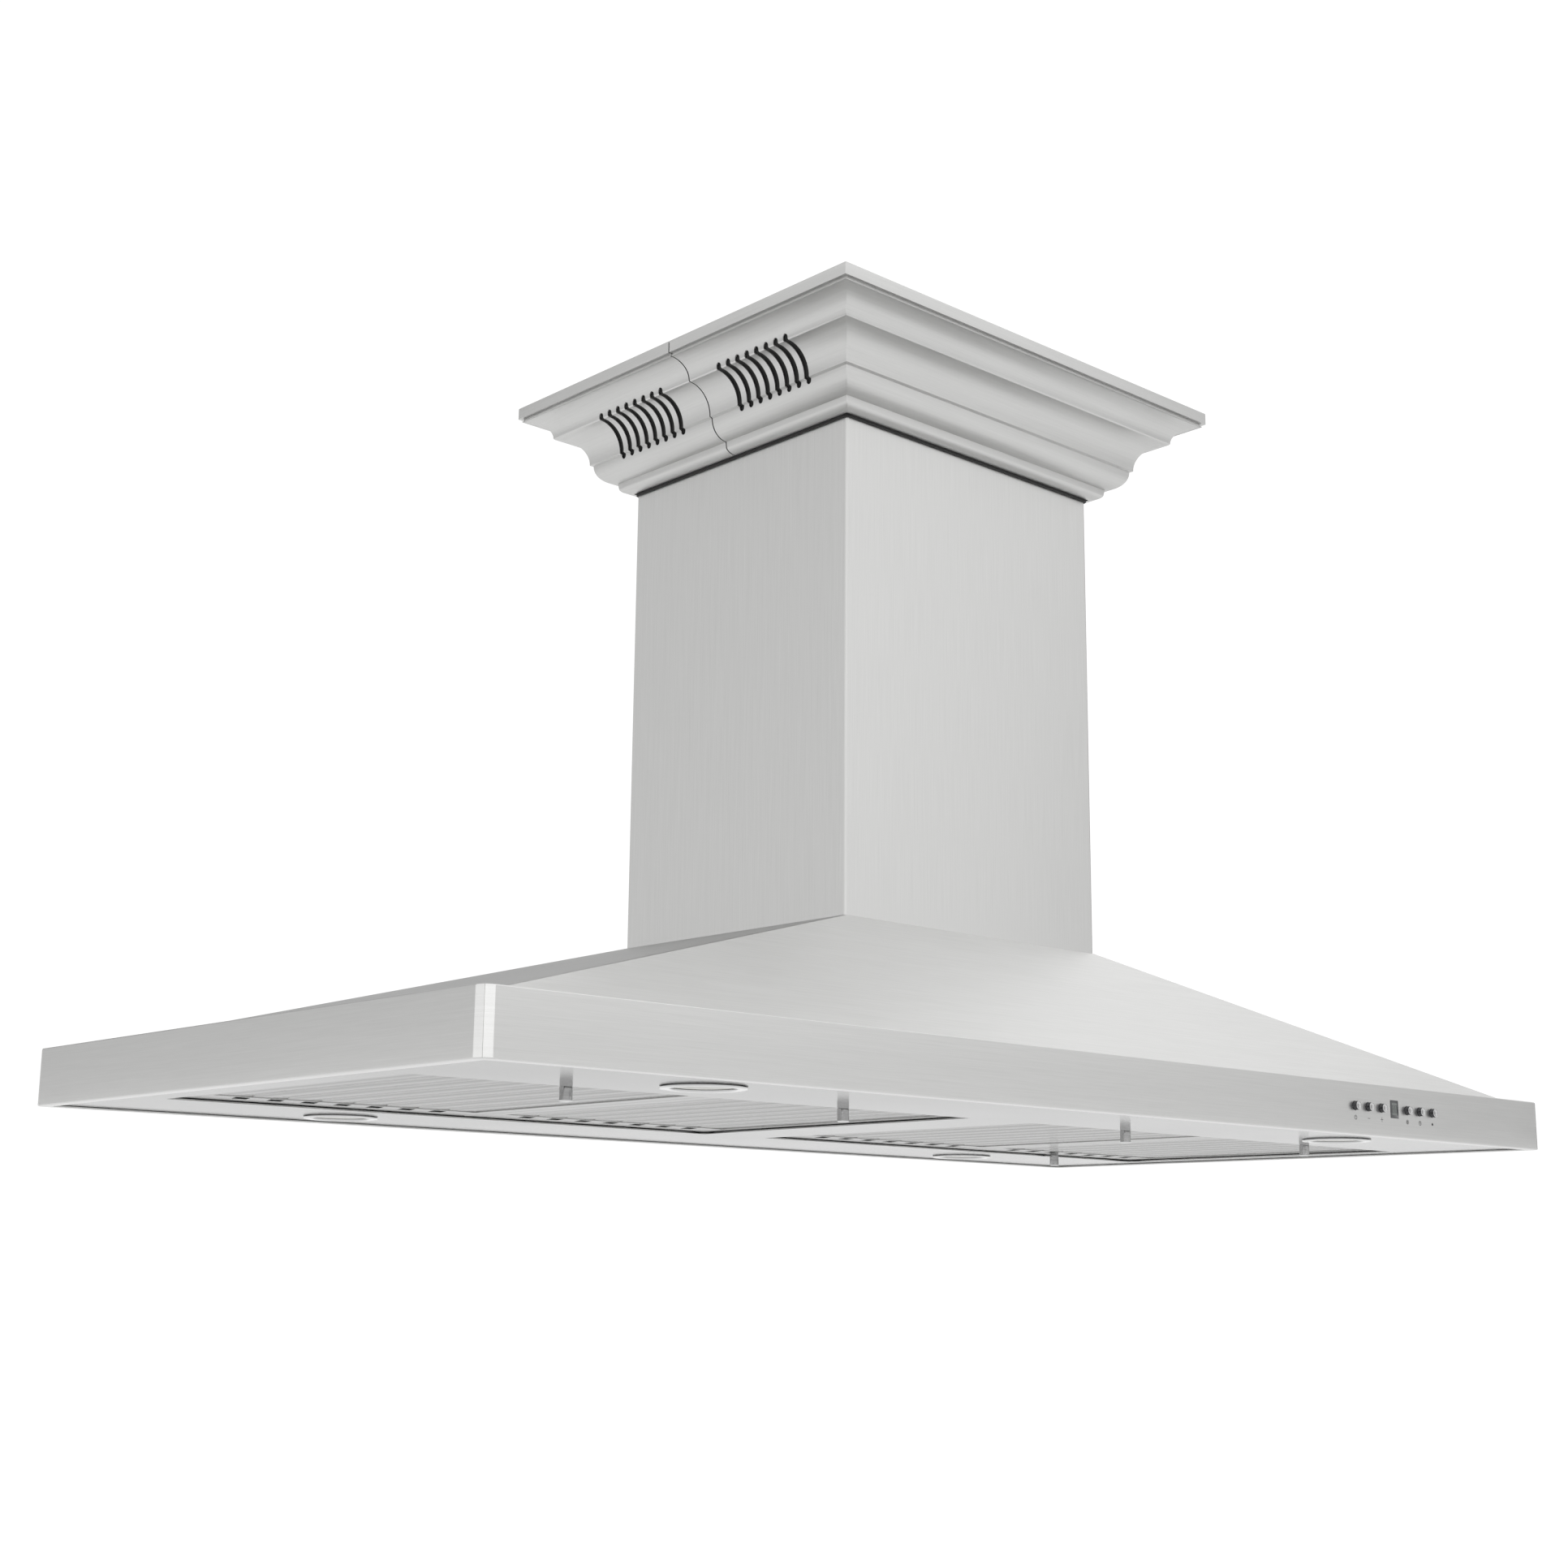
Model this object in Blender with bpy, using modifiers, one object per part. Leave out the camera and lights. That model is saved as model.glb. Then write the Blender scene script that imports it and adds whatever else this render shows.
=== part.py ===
"""Island range hood that hangs from the ceiling on a telescoping chimney.

Metres, +Z up. The origin is the middle of the ceiling plate's top face, so all of
the hood lies below z = 0. +X runs along the long front and the front faces -Y.
"""
import math

import bmesh
import bpy
from mathutils import Matrix, Vector

# ---- Driving dimensions -------------------------------------------------------
CANOPY_WIDTH = 1.200
CANOPY_DEPTH = 0.590
LIP_HEIGHT = 0.044        # upright band round the canopy
LIP_CORNER = 0.0085       # its corner radius
LIP_RETURN = 0.010        # the band's edge turned inward underneath
LIP_BEND = 0.001          # bend radius along its upper and lower edges
FOLD_CORNER = 0.003       # plan radius where the skin's folds meet at a corner
PYRAMID_FOOT = 0.0015     # the pyramid's top stands this far out of the chimney
SHELL_FLANGE = 0.008      # skin turned in on the frame, back from its opening
LEDGE = 0.019             # flat strip between the band and the foot of the pyramid
PYRAMID_HEIGHT = 0.109

CHIMNEY_WIDTH = 0.300
CHIMNEY_DEPTH = 0.270
CHIMNEY_SHOWN = 0.413     # lower chimney in sight below the crown, closed up
CHIMNEY_BEND = 0.0025     # bend radius of its corners
CHIMNEY_TOP = 0.030       # its hidden top edge, below the ceiling
COVER_FLANGE = 0.015      # rear cover's edges, turned in behind the sides

SKIN = 0.001              # stainless sheet
FRAME_STEEL = 0.002
CEILING_STEEL = 0.003
GAP = 0.0003              # between pieces that touch
SLIDE_GAP = 0.002         # between the two chimneys

# Crown: the moulding's parts from the ceiling down, as (inward, down)
FASCIA = (0.0, 0.0104)
FASCIA_STEP = (0.0025, 0.0026)
UPPER_COVE = (0.0205, 0.016)
COVE_STEP = (0.0010, 0.0010)
LOWER_COVE = (0.0230, 0.025)
OVOLO_STEP = (0.0025, 0.0010)
OVOLO = (0.0160, 0.017)
BEAD_STEP = (0.0006, 0.004)
BEAD = (0.0099, 0.0055)
CROWN_GAP = 0.0025        # between the crown's foot and the chimney
CROWN_FLANGE = 0.012      # its top edge turned inward
CROWN_PARTS = (FASCIA, FASCIA_STEP, UPPER_COVE, COVE_STEP, LOWER_COVE, OVOLO_STEP,
               OVOLO, BEAD_STEP, BEAD)
CROWN_HEIGHT = sum(down for _, down in CROWN_PARTS)
CROWN_REACH = CROWN_GAP + sum(inward for inward, _ in CROWN_PARTS)

VENT_SLOTS = 8            # in each of two groups on the crown's left side
VENT_PITCH = 0.0117
VENT_WIDTH = 0.0055
VENT_GROUP_Y = 0.079      # middle of a group, from the seam between the halves
VENT_TOP = 0.0245         # below the ceiling
VENT_BOTTOM = 0.060

PLATE_MARGIN = 0.045      # ceiling plate beyond the chimney
DUCT_HOLE_ROOM = 0.010    # round the collar's radius
ANCHOR_HOLE = 0.0045      # radius
ANCHOR_INSET = 0.020
CLIP_WIDTH = 0.050
CLIP_STEEL = 0.002
CLIP_REACH = 0.025        # over the ceiling plate
CLIP_STEP = 0.003
CLIP_GAP = 0.0005         # to the plate's edge

POST_LEG = 0.025
POST_STEEL = 0.0015
POST_GAP = 0.0005         # between the nested angles
POST_SLOT = 0.006
POST_FOOT_INSET = 0.001   # a post's foot, back from the legs' ends
POST_SLOT_END = 0.040     # solid angle at each end of a slot
UPPER_END = 0.095         # lower ends of the fixed posts and chimney, above the canopy
LOWER_POST_TOP = 0.070    # upper ends of the sliding posts, below the ceiling

SPEAKER_SIZE = (0.018, 0.100, 0.034)
SPEAKER_CONE = 0.014      # radius
SPEAKER_CONE_DEPTH = 0.008
SPEAKER_OFF = 0.005       # from the chimney
HANGER_STEEL = 0.0015
HANGER_LAP = 0.004        # down behind the speaker
MODULE_SIZE = (0.020, 0.080, 0.046)
CASE_EDGE = 0.0015        # rounding of moulded cases

FILTERS_PER_BANK = 2
CENTRE_BAR = 0.072        # between the two banks of filters
END_RAIL = 0.040          # between a bank and the canopy's end
SIDE_RAIL = 0.135         # between a bank and the canopy's front or back
FILTER_GAP = 0.0015
FILTER_THICK = 0.012
FILTER_BORDER = 0.014
FILTER_RISE = 0.003       # underside of the filters above the canopy's lower edge
BAFFLE_PITCH = 0.028
BAFFLE_SHARE = 0.70       # of the pitch that a lower baffle covers
BAFFLE_STEEL = 0.001
KNOB_RADIUS = 0.0045
KNOB_DROP = 0.011
KNOB_NECK = 0.002
EDGE_BREAK = 0.0006       # on the edges of turned knobs and buttons

LAMP_RADIUS = 0.0245
LAMP_HEIGHT = 0.014
LAMP_CHAMFER = 0.003
BEZEL_WALL = 0.002
BEZEL_FLANGE = 0.0035
BEZEL_LIP = 0.002
BEZEL_THICK = 0.0015
LAMP_INSET = (0.230, 0.069)   # lamp centres from the canopy's end and from its side

CONTROL_END = 0.185       # last control's centre from the canopy's right end
CONTROL_PITCH = 0.0198
CONTROL_PLACES = 7
DISPLAY_PLACE = 3
CONTROL_Z = 0.545 * LIP_HEIGHT        # above the canopy's lower edge
DISPLAY_SIZE = (0.0125, 0.0152)
DISPLAY_FLANGE = (0.002, 0.0015)      # wider than the opening all round, and thick
DISPLAY_PROUD = 0.0002
BUTTON_RADIUS = 0.00375
BUTTON_PROUD = 0.0040
BUTTON_TRAVEL = 0.0015
BUTTON_FLANGE = (0.0012, 0.001)   # wider than the button, and thick
BUTTON_STEM = (0.002, 0.0062)     # radius, length
BOARD_THICK = 0.0016
SWITCH_SIZE = (0.006, 0.0035, 0.006)
COVER_WALL = 0.0015
COVER_DEPTH = 0.024
COVER_HEIGHT = LIP_HEIGHT - 0.007
COVER_END = 0.018         # past the first and last control

SCROLL_LARGEST = 0.078    # radius of the blower housing, if the chimney is deep enough
SCROLL_SIDE_GAP = 0.004   # its least gap to the frame opening that it hangs through
SCROLL_WALL = 0.0015
SCROLL_END_GAP = 0.006
SCROLL_FLOOR = 0.012      # above the filters
SCROLL_NECK = 0.017       # above the scroll
SCROLL_EAR = 0.016        # flange that bears on the frame
EAR_INSET = 0.008         # its ends, from the opening's sides
INLET_SHARE = 0.64        # of the scroll's radius
IMPELLER_GAP = 0.0105
IMPELLER_WALL = 0.008
IMPELLER_DISC = 0.002
IMPELLER_RIM = 0.004
IMPELLER_SLOTS = 14
HUB_RADIUS = 0.012
SHAFT_RADIUS = 0.004
MOTOR_RADIUS = 0.040
MOTOR_LENGTH = 0.050
CARRIER_THICK = 0.003
ROTOR_END_GAP = 0.004

COLLAR_INSET = 0.003      # its radius inside the scroll's
COLLAR_WALL = 0.0012
COLLAR_PLATE = 0.0015
COLLAR_HEIGHT = 0.050
FLAP_GAP = 0.0023
FLAP_THICK = 0.001
FLAP_AXLE = 0.002         # radius
FLAP_AXLE_Y = 0.006
FLAP_AXLE_Z = 0.018       # above the collar's plate
FLAP_AXLE_PROUD = 0.002   # out of the collar at each end
FLAP_STEPS = 16           # round its edge

BOX_SIZE = (0.110, 0.062, 0.036)      # junction box
BOX_STEEL = 0.0012
LID_RIM = (0.001, 0.004)  # proud of the box, and its height
DRIVER_SIZE = (0.120, 0.040, 0.022)
BOX_RAIL_Y = 0.078        # middle of both, from the canopy's back
DRIVER_X = 0.150

# ---- Levels and half sizes that follow --------------------------------------
CANOPY_TOP_Z = -(CROWN_HEIGHT + CHIMNEY_SHOWN)
LEDGE_Z = CANOPY_TOP_Z - PYRAMID_HEIGHT
RIM_Z = LEDGE_Z - LIP_HEIGHT
PAN_Z = RIM_Z + SKIN + GAP            # underside of the filter pan
PAN_TOP_Z = PAN_Z + SKIN
FILTER_Z = RIM_Z + FILTER_RISE
HALF_W = CANOPY_WIDTH / 2
HALF_D = CANOPY_DEPTH / 2
LOWER = Vector((CHIMNEY_WIDTH / 2, CHIMNEY_DEPTH / 2))      # half sizes in plan
UPPER = LOWER - Vector((1, 1)) * (SKIN + SLIDE_GAP)
UPPER_POST = UPPER - Vector((1, 1)) * (2 * SKIN + 2 * GAP)
LOWER_POST = UPPER_POST - Vector((1, 1)) * (POST_STEEL + POST_GAP)
FRAME_OPEN = LOWER_POST - Vector((1, 1)) * (POST_LEG + FRAME_STEEL)
FRAME_OUT = LOWER - Vector((1, 1)) * (2 * SKIN + 2 * GAP)
FRAME_Z = CANOPY_TOP_Z + GAP
POST_FOOT_Z = FRAME_Z + FRAME_STEEL + GAP
UPPER_TOP_Z = -(CEILING_STEEL + GAP)
UPPER_END_Z = CANOPY_TOP_Z + UPPER_END
SCROLL_RADIUS = min(SCROLL_LARGEST, FRAME_OPEN.y - SCROLL_SIDE_GAP)
COLLAR_RADIUS = SCROLL_RADIUS - COLLAR_INSET
SCROLL_Z = FILTER_Z + FILTER_THICK + SCROLL_FLOOR + SCROLL_RADIUS
SCROLL_HALF = FRAME_OPEN.x - SCROLL_END_GAP
NECK_Z = SCROLL_Z + SCROLL_RADIUS + SCROLL_NECK
COLLAR_Z = NECK_Z + GAP
BANK_OUT = HALF_W - END_RAIL
BANK_IN = CENTRE_BAR / 2
BANK_HALF_Y = HALF_D - SIDE_RAIL
FILTER_WIDTH = (BANK_OUT - BANK_IN - FILTER_GAP * (FILTERS_PER_BANK + 1)) / FILTERS_PER_BANK
FILTER_LENGTH = 2 * (BANK_HALF_Y - FILTER_GAP)
CONTROL_X = [HALF_W - CONTROL_END - CONTROL_PITCH * (CONTROL_PLACES - 1 - place)
             for place in range(CONTROL_PLACES)]
BUTTON_X = [x for place, x in enumerate(CONTROL_X) if place != DISPLAY_PLACE]

FACE_FRONT = (math.pi / 2, 0.0, 0.0)      # turns a piece's +Z to the front, -Y
FACE_RIGHT = (0.0, math.pi / 2, 0.0)      # turns a piece's +Z to +X
ROUND = 24                                # sides of a round piece
SMALL_ROUND = 16                          # and of a button, knob or small hole,
SMALL_RADIUS = 0.010                      # which is one below this radius
CUT_DEPTH = 0.010                         # how far a cutter goes through and past a sheet
WELD = 0.00001                            # corners nearer than this are one
ARC = 4                                   # steps in a quarter turn

# ---- Scene ----------------------------------------------------------------------
for old in list(bpy.data.objects):
    bpy.data.objects.remove(old)
scene = bpy.context.scene
PARTS = bpy.data.collections.new("island_range_hood")
TOOLS = bpy.data.collections.new("cutters")
scene.collection.children.link(PARTS)
scene.collection.children.link(TOOLS)


def finish_of(name, grey, roughness, metallic):
    """Principled material; grey is an (r, g, b) base colour."""
    material = bpy.data.materials.new(name)
    material.use_nodes = True
    shader = material.node_tree.nodes["Principled BSDF"]
    shader.inputs["Base Color"].default_value = (*grey, 1.0)
    shader.inputs["Roughness"].default_value = roughness
    shader.inputs["Metallic"].default_value = metallic
    return material


STEEL = finish_of("brushed_stainless", (0.62, 0.62, 0.61), 0.30, 1.0)
BRIGHT = finish_of("polished_steel", (0.72, 0.72, 0.72), 0.12, 1.0)
ZINC = finish_of("zinc_plated_steel", (0.50, 0.50, 0.48), 0.45, 1.0)
BLACK = finish_of("black_plastic", (0.02, 0.02, 0.02), 0.45, 0.0)
GREEN = finish_of("circuit_board", (0.02, 0.13, 0.06), 0.50, 0.0)
GLOW = finish_of("lamp_lens", (0.90, 0.90, 0.86), 0.30, 0.0)
GLASS = finish_of("display_glass", (0.02, 0.02, 0.03), 0.08, 0.0)

# ---- Making pieces -----------------------------------------------------------------


def sides_for(radius):
    return SMALL_ROUND if radius < SMALL_RADIUS else ROUND


def add(name, data, material=None, location=(0, 0, 0), rotation=(0, 0, 0)):
    """Puts mesh or curve data in the scene: a part with a material, else a cutter."""
    obj = bpy.data.objects.new(name, data)
    obj.location = location
    obj.rotation_euler = rotation
    if material:
        PARTS.objects.link(obj)
        if not data.materials:
            data.materials.append(material)
    else:
        TOOLS.objects.link(obj)
        obj.hide_render = True
        obj.display_type = 'WIRE'
    return obj


def mesh_from(name, bm, smooth=False):
    mesh = bpy.data.meshes.new(name)
    bm.to_mesh(mesh)
    bm.free()
    if smooth:
        mesh.shade_smooth()
        mesh.set_sharp_from_angle(angle=math.radians(35))
    return mesh


def box(name, low, high, material=None):
    """A box between two corners, with its origin in its middle."""
    low, high = Vector(low), Vector(high)
    bm = bmesh.new()
    bmesh.ops.create_cube(bm, size=1.0)
    bmesh.ops.scale(bm, vec=high - low, verts=bm.verts)
    return add(name, mesh_from(name, bm), material, (low + high) / 2)


def boxes(name, corners):
    """A cutter of several boxes, each given by two corners."""
    bm = bmesh.new()
    for low, high in corners:
        low, high = Vector(low), Vector(high)
        made = bmesh.ops.create_cube(bm, size=1.0)["verts"]
        bmesh.ops.scale(bm, vec=high - low, verts=made)
        bmesh.ops.translate(bm, vec=(low + high) / 2, verts=made)
    return add(name, mesh_from(name, bm))


def rod(name, radius, length, centre, material=None, rotation=(0, 0, 0), tip=None):
    """A cylinder about its middle, or a cone frustum when tip gives its +Z radius."""
    bm = bmesh.new()
    bmesh.ops.create_cone(bm, cap_ends=True, segments=sides_for(radius), radius1=radius,
                          radius2=radius if tip is None else tip, depth=length)
    return add(name, mesh_from(name, bm, smooth=True), material, centre, rotation)


def turned(name, profile, closed, material, location=(0, 0, 0), rotation=(0, 0, 0)):
    """A turned piece: (radius, height) points down the outer side, about +Z."""
    bm = bmesh.new()
    verts = [bm.verts.new((radius, 0, height)) for radius, height in profile]
    for first, second in zip(verts, verts[1:]):
        bm.edges.new((first, second))
    if closed:
        bm.edges.new((verts[-1], verts[0]))
    obj = add(name, mesh_from(name, bm), material, location, rotation)
    screw = obj.modifiers.new("turn", 'SCREW')
    screw.steps = sides_for(max(radius for radius, _ in profile))
    screw.render_steps = screw.steps
    screw.use_merge_vertices = True
    screw.merge_threshold = WELD
    screw.use_smooth_shade = False
    return obj


def plate(name, outlines, thickness, material, location, rotation=(0, 0, 0)):
    """A flat piece from its outline and holes, with its underside at the location."""
    curve = bpy.data.curves.new(name, 'CURVE')
    curve.dimensions = '2D'
    curve.fill_mode = 'BOTH'
    curve.extrude = thickness / 2
    for outline in outlines:
        spline = curve.splines.new('POLY')
        spline.points.add(len(outline) - 1)
        for point, (x, y) in zip(spline.points, outline):
            point.co = (x, y, 0, 1)
        spline.use_cyclic_u = True
    middle = Vector(location) + Matrix.Rotation(rotation[0], 3, 'X') @ Vector((0, 0, thickness / 2))
    return add(name, curve, material, middle, rotation)


def sheet(name, rows, ring, inside, thickness, material):
    """Sheet metal through rows of points; ring joins each row's end to its start.

    The rows lie on the outer face, and the thickness goes toward the point inside.
    """
    bm = bmesh.new()
    grid = [[bm.verts.new(point) for point in row] for row in rows]
    for upper, lower in zip(grid, grid[1:]):
        spans = list(zip(range(len(upper)), range(1, len(upper))))
        if ring:
            spans.append((len(upper) - 1, 0))
        for a, b in spans:
            bm.faces.new((upper[a], upper[b], lower[b], lower[a]))
    bm.normal_update()
    facing = sum(face.normal.dot(face.calc_center_median() - Vector(inside)) * face.calc_area()
                 for face in bm.faces)
    if facing < 0:
        bmesh.ops.reverse_faces(bm, faces=bm.faces)
    obj = add(name, mesh_from(name, bm, smooth=True), material)
    solid = obj.modifiers.new("thickness", 'SOLIDIFY')
    solid.thickness = thickness
    solid.offset = -1.0
    solid.use_even_offset = True
    solid.use_quality_normals = True
    return obj


def cut(obj, tool, operation='DIFFERENCE'):
    step = obj.modifiers.new(tool.name, 'BOOLEAN')
    step.operation = operation
    step.object = tool
    return obj


def soften(obj, width, segments=2):
    bevel = obj.modifiers.new("edges", 'BEVEL')
    bevel.width = width
    bevel.segments = segments
    bevel.limit_method = 'ANGLE'
    return obj


def baked(obj):
    """The finished mesh of an object, for copies; the object itself goes."""
    bpy.context.view_layer.update()
    graph = bpy.context.evaluated_depsgraph_get()
    mesh = bpy.data.meshes.new_from_object(obj.evaluated_get(graph), depsgraph=graph)
    mesh.name = obj.name
    bpy.data.objects.remove(obj)
    return mesh


def pivot(name, location, parent=None):
    """An empty on a joint's axis, for the pieces that move about it."""
    empty = bpy.data.objects.new(name, None)
    empty.empty_display_size = 0.02
    empty.location = location
    PARTS.objects.link(empty)
    if parent:
        carry(parent, empty)
    return empty


def carry(parent, *children):
    """Parents children where they stand: every location here is a place in the world."""
    for child in children:
        child.parent = parent
        child.matrix_parent_inverse = Matrix.Translation(-parent.location)


def circle(radius, centre=(0, 0), sides=ROUND):
    return [(centre[0] + radius * math.cos(2 * math.pi * k / sides),
             centre[1] + radius * math.sin(2 * math.pi * k / sides)) for k in range(sides)]


def rectangle(half_x, half_y, centre=(0, 0)):
    return [(centre[0] + sx * half_x, centre[1] + sy * half_y)
            for sx, sy in ((1, -1), (1, 1), (-1, 1), (-1, -1))]


def corner(x, y, radius, start, steps=ARC):
    """Points round one corner of a rectangle, from the angle start, a quarter turn on."""
    inward = math.radians(start + 45)
    middle = (x - math.copysign(radius, math.cos(inward)), y - math.copysign(radius, math.sin(inward)))
    return [(middle[0] + radius * math.cos(math.radians(start + 90 * k / steps)),
             middle[1] + radius * math.sin(math.radians(start + 90 * k / steps)))
            for k in range(steps + 1)]


def rounded(half_x, half_y, radius):
    return (corner(half_x, half_y, radius, 0) + corner(-half_x, half_y, radius, 90)
            + corner(-half_x, -half_y, radius, 180) + corner(half_x, -half_y, radius, 270))


def at_height(points, z):
    return [(x, y, z) for x, y in points]


# ---- Ceiling: plate, crown, fixed posts and the chimney's upper part -----------------


def make_ceiling_plate():
    half_x = LOWER.x + PLATE_MARGIN
    half_y = LOWER.y + PLATE_MARGIN
    anchors = [circle(ANCHOR_HOLE, (sx * (half_x - ANCHOR_INSET), sy * (half_y - ANCHOR_INSET)), 16)
               for sx in (-1, 1) for sy in (-1, 1)]
    plate("ceiling_plate", [rectangle(half_x, half_y), circle(COLLAR_RADIUS + DUCT_HOLE_ROOM), *anchors],
          CEILING_STEEL, ZINC, (0, 0, -CEILING_STEEL))


def crown_profile():
    """(outward from the chimney, z) points from the turned-in top edge to the foot."""
    reach, z = CROWN_REACH, 0.0
    points = [(reach - CROWN_FLANGE, z), (reach, z)]
    for part in CROWN_PARTS:
        inward, down = part
        for k in range(1, ARC + 1):
            turn = math.pi / 2 * k / ARC
            if part in (UPPER_COVE, LOWER_COVE):        # hollow: level first, then upright
                points.append((reach - inward * math.sin(turn), z - down * (1 - math.cos(turn))))
            elif part in (OVOLO, BEAD):                 # round: upright first, then level
                points.append((reach - inward * (1 - math.cos(turn)), z - down * math.sin(turn)))
        if part not in (UPPER_COVE, LOWER_COVE, OVOLO, BEAD):
            points.append((reach - inward, z - down))
        reach -= inward
        z -= down
    return points


def crown_reach_at(depth):
    """How far the crown's outer face stands off the chimney at a depth below the ceiling."""
    points = crown_profile()
    for (near, top), (far, bottom) in zip(points[1:], points[2:]):
        if bottom <= -depth <= top and top > bottom:
            return far + (near - far) * (-depth - bottom) / (top - bottom)
    return CROWN_GAP


def make_crown(name, side):
    """Half of the crown, bent round three sides of the chimney; side is -1 in front."""
    rows = []
    for reach, z in crown_profile():
        x = LOWER.x + reach
        y = LOWER.y + reach
        rows.append([(-x, side * GAP, z), (-x, side * y, z), (x, side * y, z), (x, side * GAP, z)])
    half = sheet(name, rows, False, (0, 0, -CROWN_HEIGHT / 2), SKIN, STEEL)
    outer = LOWER.x + crown_reach_at(VENT_TOP) + CUT_DEPTH / 2
    inner = LOWER.x + crown_reach_at(VENT_BOTTOM) - CUT_DEPTH / 2
    slots = []
    for k in range(VENT_SLOTS):
        y = side * (VENT_GROUP_Y + (k - (VENT_SLOTS - 1) / 2) * VENT_PITCH)
        slots.append(((-outer, y - VENT_WIDTH / 2, -VENT_BOTTOM),
                      (-inner, y + VENT_WIDTH / 2, -VENT_TOP)))
    cut(half, boxes(name + "_vents", slots))


def make_crown_clip(name, side):
    """Z-shaped clip that ties both halves of the crown to the ceiling plate's edge."""
    edge = LOWER.x + PLATE_MARGIN
    low = CEILING_STEEL + GAP
    high = SKIN + GAP
    riser = edge + CLIP_GAP
    start, end = edge - CLIP_REACH, LOWER.x + CROWN_REACH - SKIN - FASCIA_STEP[0] / 2
    profile = [(start, low + CLIP_STEEL), (riser + CLIP_STEP, low + CLIP_STEEL),
               (riser + CLIP_STEP, high + CLIP_STEEL), (end, high + CLIP_STEEL),
               (end, high), (riser, high), (riser, low), (start, low)]
    outline = [(side * x, -depth) for x, depth in profile]
    plate(name, [outline], CLIP_WIDTH, ZINC, (0, CLIP_WIDTH / 2, 0), FACE_FRONT)


def post_mesh(name, length):
    """Equal-leg angle with its outer corner at the origin, foot at the bottom, slotted."""
    path = [(-POST_LEG, 0), (0, 0), (0, -POST_LEG)]
    rows = [at_height(path, length), at_height(path, 0)]
    post = sheet(name, rows, False, (-POST_LEG, -POST_LEG, length / 2), POST_STEEL, ZINC)
    foot = box(name + "_foot", (-POST_LEG + POST_FOOT_INSET, -POST_LEG + POST_FOOT_INSET, 0),
               (-POST_STEEL / 2, -POST_STEEL / 2, FRAME_STEEL))
    cut(post, foot, 'UNION')
    middle = -POST_LEG * 0.6
    low, high = POST_SLOT_END, length - POST_SLOT_END
    slots = [((middle - POST_SLOT / 2, -POST_STEEL * 2, low), (middle + POST_SLOT / 2, POST_STEEL, high)),
             ((-POST_STEEL * 2, middle - POST_SLOT / 2, low), (POST_STEEL, middle + POST_SLOT / 2, high))]
    cut(post, boxes(name + "_slots", slots))
    return baked(post)


CORNERS = (("back_right", 1, 1, 0), ("back_left", -1, 1, 90), ("front_left", -1, -1, 180),
           ("front_right", 1, -1, 270))


def make_posts(prefix, half, foot_z, length, hanging):
    """Four corner angles; hanging ones have their feet up under the ceiling plate."""
    mesh = post_mesh(prefix, length)
    posts = []
    for where, sx, sy, turn in CORNERS:
        post = add(prefix + "_" + where, mesh, ZINC, (sx * half.x, sy * half.y, foot_z))
        if hanging:      # turned over, an angle is its own mirror image at the next corner
            post.rotation_euler = (math.pi, 0, math.radians(turn + 90))
        else:
            post.rotation_euler = (0, 0, math.radians(turn))
        posts.append(post)
    return posts


def make_chimney(prefix, half, bottom, top):
    """A chimney: a cover bent round the front and sides, and a flat rear cover."""
    back = half.y - SKIN
    front_path = ([(half.x, back)] + corner(half.x, -half.y, CHIMNEY_BEND, 270)[::-1]
                  + corner(-half.x, -half.y, CHIMNEY_BEND, 180)[::-1] + [(-half.x, back)])
    middle = (0, 0, (bottom + top) / 2)
    front = sheet(prefix + "_front", [at_height(front_path, top), at_height(front_path, bottom)],
                  False, middle, SKIN, STEEL)
    side = half.x - SKIN - GAP
    rear_path = ([(side, half.y - COVER_FLANGE)] + corner(side, half.y, CHIMNEY_BEND, 0)
                 + corner(-side, half.y, CHIMNEY_BEND, 90) + [(-side, half.y - COVER_FLANGE)])
    rear = sheet(prefix + "_rear", [at_height(rear_path, top), at_height(rear_path, bottom)],
                 False, middle, SKIN, STEEL)
    return [front, rear]


def make_speaker(name, side):
    """Loudspeaker behind a group of vents, hung from the ceiling plate by its tab."""
    depth, width, height = SPEAKER_SIZE
    middle_y = side * VENT_GROUP_Y
    near = -(LOWER.x + SPEAKER_OFF)
    top = -VENT_TOP
    body = box(name, (near - depth, middle_y - width / 2, top - height),
               (near, middle_y + width / 2, top), BLACK)
    tab = box(name + "_tab", (near - HANGER_STEEL - GAP, middle_y - width / 4, top - HANGER_LAP),
              (near - GAP, middle_y + width / 4, UPPER_TOP_Z))
    cut(body, tab, 'UNION')
    for k in (-1, 1):
        cone = rod(name + "_cone", SPEAKER_CONE * 0.4, SPEAKER_CONE_DEPTH,
                   (near - depth + SPEAKER_CONE_DEPTH * 0.45, middle_y + k * width / 4, top - height / 2),
                   None, (0, -math.pi / 2, 0), SPEAKER_CONE)
        cut(body, cone)


def make_audio_module():
    depth, width, height = MODULE_SIZE
    near = LOWER.x + SPEAKER_OFF
    bottom = UPPER_TOP_Z - height
    module = box("audio_module", (near, VENT_GROUP_Y - width / 2, bottom),
                 (near + depth, VENT_GROUP_Y + width / 2, UPPER_TOP_Z), BLACK)
    soften(module, CASE_EDGE)


# ---- Canopy: shell, filter pan, filters, lamps and controls ------------------------------


def control_z():
    return RIM_Z + CONTROL_Z


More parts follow.
